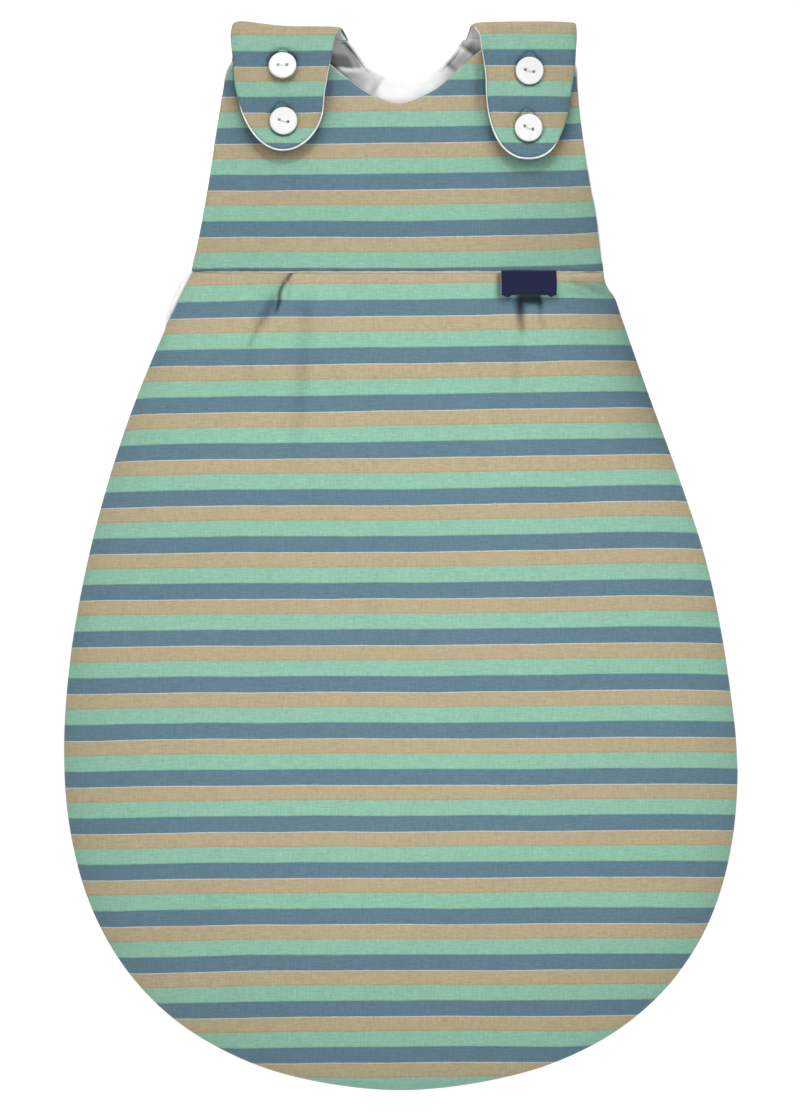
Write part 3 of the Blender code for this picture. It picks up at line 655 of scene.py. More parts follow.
def front_painted_shade(xy):
    """Painted shade: at the bottom of the pleats and their runs, beside and under the label, along the side seams, in
    the corner creases, under the waist seam, towards the waist, and in the box pleat's hollow under the label.
    """
    dark = crease(xy, LEFT_PLEAT, 1.25, 0.86, 3.6, 0.9, 0.36, 0.05, 0.35)
    dark += crease(xy, LEFT_WEDGE, 3.6, 0.50, 2.0, 2.0, 0.0, 0.3, 0.5) + crease(xy, LEFT_TAIL, 1.8, 0.24, 3.0, 1.8, 0.10, 0.3, 0.6)
    dark += crease(xy, LEFT_FLAP, 1.0, 0.22, 1.0, 1.0, 0.0, 0.25, 0.5) + crease(xy, LEFT_DIP, 5.0, 0.22, 2.0, 2.0, 0.0, 0.15, 0.5) + crease(xy, LEFT_RUN, 4.5, 0.13, 2.0, 2.0, 0.0, 0.3, 0.5) + crease(xy, BOX_RUN, 3.4, 0.17, 2.0, 2.0, 0.0, 0.3, 0.5)
    x, y = xy[:, 0], xy[:, 1]
    # painted shadow of the label, whose left edge stands off, and painted shade where the cloth turns away at both
    # sides
    dark += 0.85 * np.exp(-(((x - 64.5) / 2.1) ** 2)) * smooth((y - 167.0) / 6.0) * smooth((187.0 - y) / 4.0)
    dark += 0.65 * np.exp(-(((x - 68.5) / 5.5) ** 2 + ((y - 169.0) / 2.4) ** 2)) + 0.4 * np.exp(-(((x - 99.5) / 5.0) ** 2 + ((y - 169.4) / 2.2) ** 2))
    # painted shade along the side seams, and more along the upper right side
    rim = to_line(xy, SIDE_LINE)[0]
    dark += 0.14 * np.exp(-rim / 12.0) * smooth((y + 320.0) / 90.0) + 0.50 * np.exp(-rim / 19.0) * (x > 0) * smooth((y - 40.0) / 60.0) * smooth((186.0 - y) / 8.0)
    dark += crease(xy, CORNER_1, 1.9, 0.26, 2.0, 2.0, 0.05, 0.3, 0.4) + crease(xy, CORNER_2, 1.6, 0.16, 2.0, 2.0, 0.04, 0.3, 0.4)
    # painted shade just under the waist seam, and a slight painted shade over the upper skirt, growing towards the
    # waist
    dark += 0.5 * np.exp(-(((y - 185.25) / 0.45) ** 2)) * (0.75 + 0.25 * np.clip(ripple(x, 23.0, 85), -1, 1)) + 0.06 * smooth((y - 50.0) / 90.0)
    # painted shade in the hollow of the box pleat under the label
    d, t, _ = to_line(xy, BOX_SHADE_L)
    box = np.clip(1.14 - t, 0, 1) * smooth((1 - t) / 0.3) * np.exp(-((d / lerp(4.1, 2.9, smooth(t / 0.5))) ** 2))
    d, t, _ = to_line(xy, BOX_SHADE_R)
    box = np.maximum(box, (0.9 * np.exp(-(((t - 0.1) / 0.16) ** 2)) + 0.27 * smooth((1 - t) / 0.2)) * np.exp(-((d / 2.4) ** 2)))
    box = np.maximum(box, 0.98 * smooth((y - 163.2) / 2.2) * smooth((x - 75.2) / 3.0) * smooth((93.0 - x) / 1.6) * lerp(0.45, 1.0, smooth((173.0 - y) / 2.4)) * smooth((176.0 - y) / 3.0))
    return np.maximum(0.778 * np.minimum(dark, 1.1), np.minimum(box, 1.0))


FRONT_RIM = [
    ((1.5, 13.05), (4.4, lerp(16.55, 13.15, ZIP_END)), (1.0, 16.3)),
    ((0.7, 13.3), (2.4, 16.5), (0.5, 16.7)),
    ((0.2, 14.2), (0.9, 16.6), (0.25, 17.3)),
    ((0.0, 15.9), (0.2, 17.2), (0.4, 17.9)),
    ((0.15, 17.9), (0.15, 18.0), (0.9, 18.5)),
    ((0.7, 19.8), (0.7, 19.8), (1.8, 18.9)),
    ((1.8, 21.6), (1.8, 21.6), (3.2, 19.15)),
    ((3.4, 23.2), (3.4, 23.2), (5.0, 19.3)),
    ((5.6, 24.7), (5.6, 24.7), (7.5, 19.35)),
    ((8.5, 26.2), (8.5, 26.2), (9.0, 19.4)),
]
INNER_U = [*np.arange(10.4, 62.0, 1.7), 64.5, 68, 72, 77, 83, 90, 98, 107, 118, 130, 145, 160, 178, 196]


def front_skirt():
    u0, z0 = rings(FRONT_RIM)
    u1 = np.array([np.full(N, u) for u in INNER_U] + [196 + (REACH - 196) * f for f in (0.3, 0.6)])
    p = place(np.vstack([u0, u1]), np.vstack([z0, u1]))
    p[5:, :, 2] = crown(p[5:])
    u = np.linalg.norm(p[..., :2] - OUT[None], axis=-1)
    xy = p[..., :2].reshape(-1, 2)
    h = front_relief(xy, u.ravel(), np.broadcast_to(AROUND, u.shape).ravel()).reshape(u.shape)
    h *= 1 - 0.75 * ZIPPED[None] * (1 - smooth((u - 2.0) / 4.0))
    # the painted shade, carried in the 'fold' attribute
    fold = front_painted_shade(xy).reshape(u.shape)
    base = p.copy()

    def normals():
        n = grid_normals(p, True)
        n *= np.sign(n[20, 0, 2])
        return unit(lerp(n, np.array([0.0, 0.0, 1.0]), smooth((u - 85.0) / 40.0)[..., None]))

    p = p + normals() * h[..., None]
    n = normals()
    flat = striped(cut_pattern(p, 9), SKIRT_STRIPES)
    flat[..., 1] = np.where(ON_WAIST[None] & (u < 2.5), np.minimum(flat[..., 1], 4 * STRIPE - 1.3), flat[..., 1])
    under = p - n * 1.1
    mid = pole_of(p)
    obj = slab("front_skirt_cloth", p, under, flat, wrap=True, pole=(mid, mid - [0, 0, 1.1]), fold=fold, pole_flat=striped(seen(mid), SKIRT_STRIPES))
    return base, u, obj


FRONT_BASE, FRONT_U, front = front_skirt()
stand_in(front, "bag", ["front_skirt"], JERSEY)

BACK_RIM = [
    ((1.5, 12.9), (4.4, lerp(9.4, 12.8, ZIP_END)), (1.0, 2.2)),
    ((0.7, 12.6), (2.4, 9.45), (0.5, 1.7)),
    ((0.2, 11.7), (0.9, 9.35), (0.25, 1.2)),
    ((0.0, 10.0), (0.2, 8.8), (0.4, 0.7)),
    ((0.15, 8.2), (0.15, 7.8), (0.9, 0.35)),
    ((0.7, 6.4), (0.7, 6.4), (1.8, 0.15)),
    ((1.8, 4.7), (1.8, 4.7), (3.2, 0.1)),
    ((3.4, 3.1), (3.4, 3.1), (5.0, 0.1)),
    ((5.6, 1.7), (5.6, 1.7), (7.5, 0.1)),
    ((8.5, 0.7), (8.5, 0.7), (10.5, 0.1)),
    ((12.0, 0.25), (12.0, 0.25), (14.0, 0.1)),
]


def back_skirt():
    u0, z0 = rings(BACK_RIM)
    u1 = np.array([np.full(N, u) for u in (16, 21, 27, 34, 42, 51, 61, 72, 84, 97, 111, 126, 142, 160, 178, 196)] + [196 + (REACH - 196) * f for f in (0.3, 0.6)])
    p = place(np.vstack([u0, u1]), np.vstack([z0, np.full_like(u1, 0.1)]))
    flat = cut_pattern(p, 11) - [0, 60.0]
    u = np.linalg.norm(p[..., :2] - OUT[None], axis=-1)
    x, y = p[..., 0], p[..., 1]
    lift = 0.45 + 0.45 * np.clip(waves(x, y, 95.0, 11), -1, 1)
    p[..., 2] += lift * smooth((u - 8) / 30.0)
    rim = np.exp(-u / 9.0) * smooth(u / 1.5) * (1 - WAISTY[None])
    n = grid_normals(p, True)
    n *= -np.sign(n[20, 0, 2])
    p += n * (0.4 * rim * ripple(AROUND, 12.0, 12)[None] * (1 - 0.75 * ZIPPED[None] * (1 - smooth((u - 2.0) / 4.0))))[..., None]
    p[..., 2] = np.maximum(p[..., 2], 0.05)
    n = grid_normals(p, True)
    n *= -np.sign(n[20, 0, 2])
    over = p - n * 1.1
    mid = pole_of(p)
    return slab("back_skirt_cloth", p, over, flat, wrap=True, pole=(mid, mid + [0, 0, 1.1]), pole_flat=seen(mid) - [0, 60.0])


back = stand_in(back_skirt(), "bag", ["back_skirt"], JERSEY)


def tube(name, line, radius, sides=6, caps=True, closed=False):
    """A tube along a line; radius may change along it."""
    line = np.asarray(line, float)
    r = np.broadcast_to(np.asarray(radius, float), (len(line),))
    t = unit(np.roll(line, -1, 0) - np.roll(line, 1, 0)) if closed else unit(np.gradient(line, axis=0))
    side = np.zeros_like(t)
    ref = np.array([0.0, 0.0, 1.0]) if abs(t[0, 2]) < 0.9 else np.array([1.0, 0.0, 0.0])
    last = unit(np.cross(t[0], ref))
    for k in range(len(line)):
        last = unit(last - t[k] * (last @ t[k]))
        side[k] = last
    up = np.cross(t, side)
    a = np.linspace(0, 2 * np.pi, sides, endpoint=False)
    verts = line[:, None] + (side[:, None] * np.cos(a)[None, :, None] + up[:, None] * np.sin(a)[None, :, None]) * r[:, None, None]
    idx = np.arange(len(line) * sides).reshape(-1, sides)
    faces = []
    for k in range(len(line) if closed else len(line) - 1):
        m = (k + 1) % len(line)
        for c in range(sides):
            d = (c + 1) % sides
            faces.append((idx[k, c], idx[k, d], idx[m, d], idx[m, c]))
    if caps and not closed:
        faces += [tuple(idx[0][::-1]), tuple(idx[-1])]
    return verts.reshape(-1, 3), faces


def join(parts):
    """Several (verts, faces) as one."""
    verts, faces, base = [], [], 0
    for v, f in parts:
        verts.append(np.asarray(v, float))
        faces += [tuple(int(i) + base for i in face) for face in f]
        base += len(v)
    return np.vstack(verts), faces


# Side seam: the pressed ridge where front and back are sewn together, with its stitch dimples.
start = int(np.argmax(~((OUT[:, 0] < 0) & (OUT[:, 1] > -134.0))))
run = resample(np.column_stack([(OUT + INWARD * 1.35)[start : N_SIDE - 3], np.full(N_SIDE - 3 - start, 13.0)]), 1500)
s = np.linspace(0, 1200, len(run))
verts, faces = tube("side_seam_ridge", run, 0.62 + 0.14 * np.sin(s * 2 * np.pi / 2.6) ** 2, 6)
seam_flat = np.repeat(striped(run[:, :2], SKIRT_STRIPES), 6, 0)
stand_in(mesh_object("side_seam_ridge", verts, faces, seam_flat), "bag", ["side_seam"], JERSEY)


# ---- bodice -------------------------------------------------------------------------------------
ARM_R = catmull([(133.2, 186.0), (129.4, 219.8), (124.3, 246.0), (119.9, 272.2), (117.4, 293.1), (116.0, 312.0)], 10)
ARM_L = catmull([(-137.2, 186.0), (-135.3, 194.9), (-133.3, 203.0), (-130.0, 219.8), (-125.4, 246.0), (-121.5, 272.2), (-118.2, 293.1), (-115.6, 308.9)], 10)
BACK_ARM_L = catmull([(-135.6, 186.0), (-130.0, 219.8), (-125.4, 246.0), (-121.5, 272.2), (-118.2, 293.1), (-115.6, 308.9)], 10)
FRONT_TOP = catmull(
    [(-115.6, 308.9), (-113.0, 318.5), (-107.5, 325.5), (-99.0, 330.0), (-78.0, 331.5), (-57.0, 330.0), (-45.5, 321.3), (-32.8, 311.0), (-19.5, 302.0), (0.0, 296.4), (20.6, 304.0), (34.0, 314.7), (46.0, 325.7), (58.0, 333.0), (80.0, 334.5), (100.0, 333.0), (110.0, 328.0), (114.8, 320.0), (116.0, 312.0)],
    10,
)
BACK_TOP = np.vstack(
    [
        np.array([(-115.6, 308.9), (-113.0, 316.0), (-110.7, 322.5), (-109.5, 329.0), (-109.3, 334.0), (-110.2, FOLD_Y - 0.3)]),
        np.stack([np.linspace(-108.0, -36.2, 30), np.full(30, FOLD_Y - 0.3)], 1),
        catmull([(-35.4, FOLD_Y - 0.3), (-28.5, 331.1), (-17.2, 317.9), (2.0, 312.0), (17.6, 315.1), (31.6, 326.3), (40.9, FOLD_Y - 0.3)], 10),
        np.stack([np.linspace(43.4, 115.0, 30), np.full(30, FOLD_Y - 0.3)], 1),
        np.array([(115.3, FOLD_Y - 0.3), (114.6, 334.0), (114.2, 328.0), (114.5, 322.0), (115.3, 317.0), (116.0, 312.0)]),
    ]
)


def patch(top_line, cols, rows, arms):
    """A grid that fills the bodice between the waist, both armholes and a top edge."""
    b, a = (lerp(np.linspace(0, 1, n), (1 - np.cos(np.pi * np.linspace(0, 1, n))) / 2, 0.75) for n in (rows, cols))
    along = lambda line, t: np.stack([np.interp(t, np.linspace(0, 1, 400), resample(line, 400)[:, k]) for k in range(2)], 1)
    top, left, right = along(top_line, a), along(arms[0], b), along(arms[1], b)
    low = np.stack([lerp(left[0, 0], right[0, 0], a), np.full(cols, 186.0)], 1)
    A, B = a[None, :, None], b[:, None, None]
    g = (1 - B) * low[None] + B * top[None] + (1 - A) * left[:, None] + A * right[:, None]
    g -= (1 - A) * (1 - B) * low[0] + A * (1 - B) * low[-1] + (1 - A) * B * top[0] + A * B * top[-1]
    return g


def edge_distance(g, lines):
    d = np.full(g.shape[0] * g.shape[1], 1e9)
    for line in lines:
        d = np.minimum(d, to_line(g.reshape(-1, 2), line)[0])
    return d.reshape(g.shape[:2])


def rounded(d, radius):
    t = np.clip(d / radius, 0, 1)
    return np.sqrt(np.clip(1 - (1 - t) ** 2, 0, 1))


WAIST_LINE = np.array([(-135.6, 186.0), (133.2, 186.0)])
BODICE_AT = 240.7


def bodice(name, top_line, cols, rows, edges, face, rim, crown, seed, thick, grow=0.0, waist_drop=1.9, more=None):
    """One layer of the bodice, its face at 'face', turned over at its edges to 'rim'; thick is signed, towards the inside."""
    g = patch(top_line, cols, rows, edges[1:])
    d = edge_distance(g, edges)
    waist = g[..., 1] - 186.0
    up = np.sign(face - rim)
    z = rim + (face - rim) * rounded(d, 3.0)
    z += up * crown * smooth((d - 1) / 26.0) * smooth(waist / 20.0)
    z += up * 0.32 * waves(g[..., 0], g[..., 1], 62.0, seed) * smooth((d - 2) / 22.0) * smooth(waist / 16.0)
    z += up * 0.3 * np.exp(-waist / 9.0) * ripple(g[..., 0], 15.0, seed + 1) * smooth(waist / 2.0)
    z -= up * waist_drop * (1 - rounded(waist, 2.6))
    pucker = np.exp(-d / 6.0) * smooth(d / 1.5)
    z += up * 0.22 * pucker * ripple(g[..., 0] * 0.7 + g[..., 1], 11.0, seed + 2)
    fold = None
    # more gives extra height and painted shade for the 'fold' attribute
    if more is not None:
        extra, fold = more(g)
        z += extra
    if face < 1:
        z = np.maximum(z, 0.05)
    if grow:
        mid = np.array([0.0, 240.0])
        g = g + unit(g - mid) * (grow * np.exp(-edge_distance(g, [top_line]) / 1.2) - 0.3 * np.exp(-edge_distance(g, edges[1:]) / 1.2))[..., None]
    p = np.dstack([g, z])
    inner = p.copy()
    inner[..., 2] += thick
    flat = striped(seen(p), BODICE_STRIPES, BODICE_AT)
    return p, slab(name, p, inner, flat, fold=fold)


def front_give_and_painted_shade(g):
    """Where the front bodice gives: pressed down along the edges of the buttoned straps, and rolling away at the right
    armhole. Also painted shade: the straps' shadow round their edges, shade at the right armhole, a shaded crease left
    of the right strap, and darker towards both sides and the lower right.
    """
    x, y = g[..., 0], g[..., 1]
    press, shade = np.zeros_like(x), np.zeros_like(x)
    for side, (x0, tip, _, half, end) in STRAPS.items():
        below = np.maximum(tip + end - y, 0) / end
        n = sum(SQUARE[side]) / 2
        d = ((np.abs((x - x0) / half) ** n + below**n) ** (1 / n) - 1) * half
        press = np.maximum(press, smooth((14.0 - d) / 13.0) * smooth((d + 16.0) / 12.0))
        # painted shadow of the strap round its edges
        shade = np.maximum(shade, lerp(0.54, 0.60, smooth((below - 0.4) / 0.6)) * np.exp(-np.maximum(d - 1.0, 0) / 4.8) * smooth((d + 6.0) / 5.0))
    away = to_line(g.reshape(-1, 2), ARM_R)[0].reshape(x.shape)
    roll = smooth((278.0 - y) / 50.0)
    # painted shade: at the right armhole, towards both sides, along a crease left of the right strap, and towards the
    # lower right
    shade = shade + 0.3 * np.exp(-away / 12.0) * roll + 0.07 * smooth((x - 30.0) / 70.0) + 0.05 * smooth((-50.0 - x) / 60.0)
    shade = shade + 0.24 * np.exp(-(((x - 50.4) / 1.7) ** 2)) * smooth((y - 284.0) / 14.0) * smooth((325.0 - y) / 8.0)
    shade = 0.778 * (shade + 0.09 * smooth((x - 40.0) / 60.0) * smooth((255.0 - y) / 45.0))
    return -2.1 * press - 2.2 * (1 - smooth(away / 18.0)) * roll * smooth((y - 186.0) / 14.0), shade


FRONT_P2, front_bib = bodice("front_bodice_cloth", FRONT_TOP, 150, 90, [FRONT_TOP, ARM_L, ARM_R], 18.85, 16.35, 0.5, 21, -0.9, more=front_give_and_painted_shade)
pad_top, pad_low = FRONT_P2[1:-1, 1:-1].copy(), FRONT_P2[1:-1, 1:-1].copy()
pad_top[..., 2] -= 1.15
pad_low[..., 2] = np.minimum(14.75, pad_top[..., 2] - 0.15)
bib_fill = stand_in(slab("front_bodice_fill", pad_top[::2, ::2], pad_low[::2, ::2]), "bag", ["front_bodice_wadding"], WADDING)
stand_in(front_bib, "bag", ["front_bodice"], BODICE_JERSEY_PAINTED_SHADE)
_, front_in = bodice("front_bodice_lining_cloth", FRONT_TOP, 110, 60, [FRONT_TOP, ARM_L, ARM_R], 13.9, 16.2, 0.0, 31, 0.9, 0.55, 0.4)
stand_in(front_in, "bag", ["front_bodice_lining"], WHITE)
_, back_bib = bodice("back_bodice_cloth", BACK_TOP, 150, 80, [BACK_TOP[34:96], BACK_ARM_L, ARM_R], 0.1, 2.4, 0.0, 41, 0.9, 0.0, 1.9)
stand_in(back_bib, "bag", ["back_bodice"], JERSEY)


NECK_EDGE = BACK_TOP[34:99]


def neck_folds(g):
    """The back lining inside the neck: a facing turned in along the edge, and slack folds below the shoulders, with
    painted shade in the folds, in the facing's crease, and in a pocket under each shoulder where the strap's shadow
    falls.
    """
    xy = g.reshape(-1, 2)
    d = to_line(xy, NECK_EDGE)[0]
    x, y = xy[:, 0], xy[:, 1]
    sides = smooth((np.abs(x - 3.0) - 21.0) / 7.0) * smooth((x + 39.5) / 2.5) * smooth((41.0 - x) / 3.5)
    h = 0.5 * (1 - smooth((d - 1.4) / 1.0)) * sides - 1.1 * np.exp(-(((d - 2.2) / 0.55) ** 2)) * sides
    left_1, left_2 = catmull([(-36.0, 334.0), (-33.0, 328.0), (-28.5, 321.0), (-22.0, 308.0)], 8), catmull([(-47.0, 328.0), (-40.5, 319.0), (-36.0, 313.0)], 8)
    right_1, right_2 = catmull([(38.0, 334.5), (44.0, 331.5), (53.0, 328.0)], 8), catmull([(31.0, 324.0), (34.5, 321.0), (41.0, 316.0)], 8)
    h += pleat(xy, left_1, 1.5, 5.0, 1.6, 0.9) + pleat(xy, left_2, 1.3, 4.0, 1.8, 0.8)
    h += pleat(xy, right_1, 0.7, 2.0, 3.0, 0.3) + pleat(xy, right_2, 1.2, 2.0, 3.0, 0.5)
    h += 0.35 * waves(x, y, 22.0, 57) * smooth((d - 2.5) / 6.0) * smooth((y - 288.0) / 14.0)
    # the lining stands up beside each strap, where the shoulder turns over
    e, _, side = to_line(xy, FRONT_TOP)
    clear = smooth((e * side + 2.5) / 5.0)
    tall = smooth((-29.0 - x - 0.25 * (y - 325.0)) / 14.0) * 8.5 + smooth((x - 37.0 + 0.2 * (y - 325.0)) / 12.0) * 6.0
    h += tall * clear * smooth(d / 3.0 + 0.2)
    blob = lambda cx, cy, rx, ry: np.exp(-(((x - cx) / rx) ** 2 + ((y - cy) / ry) ** 2))
    # left: a pocket of shade under the shoulder, cut off below by a fold; a paler fold towards the middle
    beside = (x + 36.4) * 0.875 + (y - 337.6) * 0.485
    under = smooth((y - 319.6 - 0.04 * (x + 36.0)) / 1.3)
    pocket = under * (1 - smooth((beside + 4.5) / 7.0))
    fold = np.maximum(pocket * (0.84 + 0.24 * smooth((331.0 - y) / 4.0)), 0.8 * under * (1 - smooth(beside / 4.2))) + 0.34 * (1 - pocket) * smooth((321.0 - y) / 2.0) * smooth((-17.0 - x - 0.6 * (312.0 - y)) / 9.0)
    slant = (x + 14.5) * 0.84 + (y - 309.5) * -0.54
    fold += 0.30 * smooth((slant + 5.0) / 5.0) * (1 - smooth((slant - 0.2) / 1.2)) * smooth((y - 302.0) / 4.0) * smooth((318.0 - y) / 5.0) * (x < 0)
    fold += (0.36 * (1 - 0.95 * blob(-21.5, 318.0, 4.5, 4.0)) * smooth((-13.0 - x) / 5.0) + 0.14 * blob(-33.0, 316.0, 4.0, 2.5)) * smooth((319.0 - y) / 2.5) * (x < 0)
    # right: two folds that cross the lining, with shade between them
    cut = (x - 40.8) * 0.572 + (y - 333.7) * 0.82
    fold += 1.15 * smooth((cut + 1.2) / 2.6) * np.exp(-np.maximum(cut, 0) / 5.5) * smooth((x - 37.0) / 4.0)
    fold += 0.62 * blob(40.0, 326.5, 8.0, 5.0) * (1 - smooth((cut + 1.2) / 2.6)) + 0.24 * blob(34.5, 324.0, 6.0, 4.4) + 0.18 * blob(44.5, 338.0, 6.0, 6.0) * smooth((cut - 3.0) / 3.0)
    low = (x - 31.9) * 0.558 + (y - 322.5) * 0.83
    fold += 0.62 * np.exp(-((low / 1.6) ** 2)) * smooth((x - 29.5) / 3.0) * smooth((40.0 - x) / 3.0)
    fold += 0.2 * blob(25.0, 313.0, 8.0, 8.0)
    fold += 0.42 * blob(48.5, 334.0, 6.5, 5.5) * smooth(((x - 45.5) * 0.8 + (336.5 - y) * 0.6 + 1.5) / 3.0)
    fold += 0.16 * blob(42.5, 329.8, 3.5, 2.6) + 0.12 * blob(38.5, 322.8, 6.0, 3.0) + 0.36 * blob(32.0, 316.5, 5.0, 5.0)
    # the middle: a little painted shade
    fold += 0.08 * smooth((22.0 - np.abs(x)) / 8.0) + 0.08 * blob(14.5, 304.0, 5.0, 5.0)
    fold = np.minimum(fold, 1.1)
    # painted shade in the facing's crease and at the edge
    fold += (0.5 * (x < 0) + 0.3 * (x > 0)) * np.exp(-(((d - 2.2) / 0.6) ** 2)) * sides + 0.14 * np.exp(-d / 1.0) * sides
    fold *= 0.842 * smooth((y - 285.0) / 14.0)
    return h.reshape(g.shape[:2]), fold.reshape(g.shape[:2])


_, back_in = bodice("back_bodice_lining_cloth", BACK_TOP, 230, 110, [BACK_TOP[34:96], BACK_ARM_L, ARM_R], 5.0, 2.6, 1.1, 51, -0.9, 0.3, 1.2, neck_folds)
stand_in(back_in, "bag", ["back_bodice_lining"], WHITE)

# Linings of the bag itself.
def lining_height(z):
    """The lining lies under the face by the thickness of the wadding, less at the waist."""
    return z - 4.5 - 2.4 * smooth((z - 19.4) / 7.0)


def skirt_lining(name, front_side, seed):
    u = np.array([np.full(N, v) for v in (9.2, 10.5, 12.6, 16, 22, 30.5, 45, 60, 80, 100, 130, 160, 196)] + [196 + (REACH - 196) * f for f in (0.4, 0.75)])
    if front_side:
        z = lining_height(crown(place(u, u)))
        low, top = -1.0, 0.0
    else:
        zs = pchip(u, [9.2, 11, 34, 70, 400], [5.5, 6.3, 6.8, 6.8, 6.81])
        zw = pchip(u, [9.2, 11, 34, 70, 400], [3.8, 3.8, 4.8, 6.8, 6.81])
        z = lerp(zs, zw, WAISTY[None])
        low, top = 0.0, 1.0
    p = place(u, z)
    wrinkle = 0.25 * waves(p[..., 0], p[..., 1], 60.0, seed) * smooth((u - 12) / 30)
    a, b = p.copy(), p.copy()
    a[..., 2] += top + (0 if front_side else wrinkle)
    b[..., 2] += low + (wrinkle if front_side else 0)
    ma, mb = pole_of(a), pole_of(b)
    return slab(name, a, b, p[..., :2] - [0, 0], wrap=True, pole=(ma, mb), pole_flat=ma[:2])


for label, is_front, node in (("front_lining_cloth", True, "front_skirt_lining"), ("back_lining_cloth", False, "back_skirt_lining")):
    lining = stand_in(skirt_lining(label, is_front, 61 + is_front), "bag", [node], WHITE)


def front_wadding():
    """Fills what lies between the front's cloth and its lining."""
    keep = [k for k in range(len(FRONT_BASE)) if FRONT_U[k].min() > 9.9][::3]
    top, low = FRONT_BASE[keep].copy(), FRONT_BASE[keep].copy()
    top[..., 2] -= 3.9
    low[..., 2] = np.minimum(lining_height(low[..., 2]) + 0.15, top[..., 2] - 0.3)
    return slab("front_fill", top, low, wrap=True, pole=(pole_of(top), pole_of(low)))


fill = stand_in(front_wadding(), "bag", ["front_skirt_wadding"], WADDING)

# The waist seam's thread, which shows here and there between bodice and skirt.
x = np.linspace(-134.4, 132.2, 760)
y = 186.05 + 0.15 * smooth((x + 70.0) / 20.0) + 0.05 * ripple(x, 9.0, 81) + 0.05 * ripple(x, 31.0, 82) - 1.0 * np.exp(-(x + 134.4) / 3.0)
z = 18.0 + 0.2 * ripple(x, 12.0, 83)
verts, faces = tube("", np.stack([x, y, z], 1), 0.17 + 0.05 * ripple(x, 6.0, 84), 6)
stand_in(mesh_object("waist_seam_thread", verts, faces), "bag", [], SEAM_SEWING)


# ---- straps -------------------------------------------------------------------------------------
LINED_BELOW = {"left": 302.0, "right": 274.0}


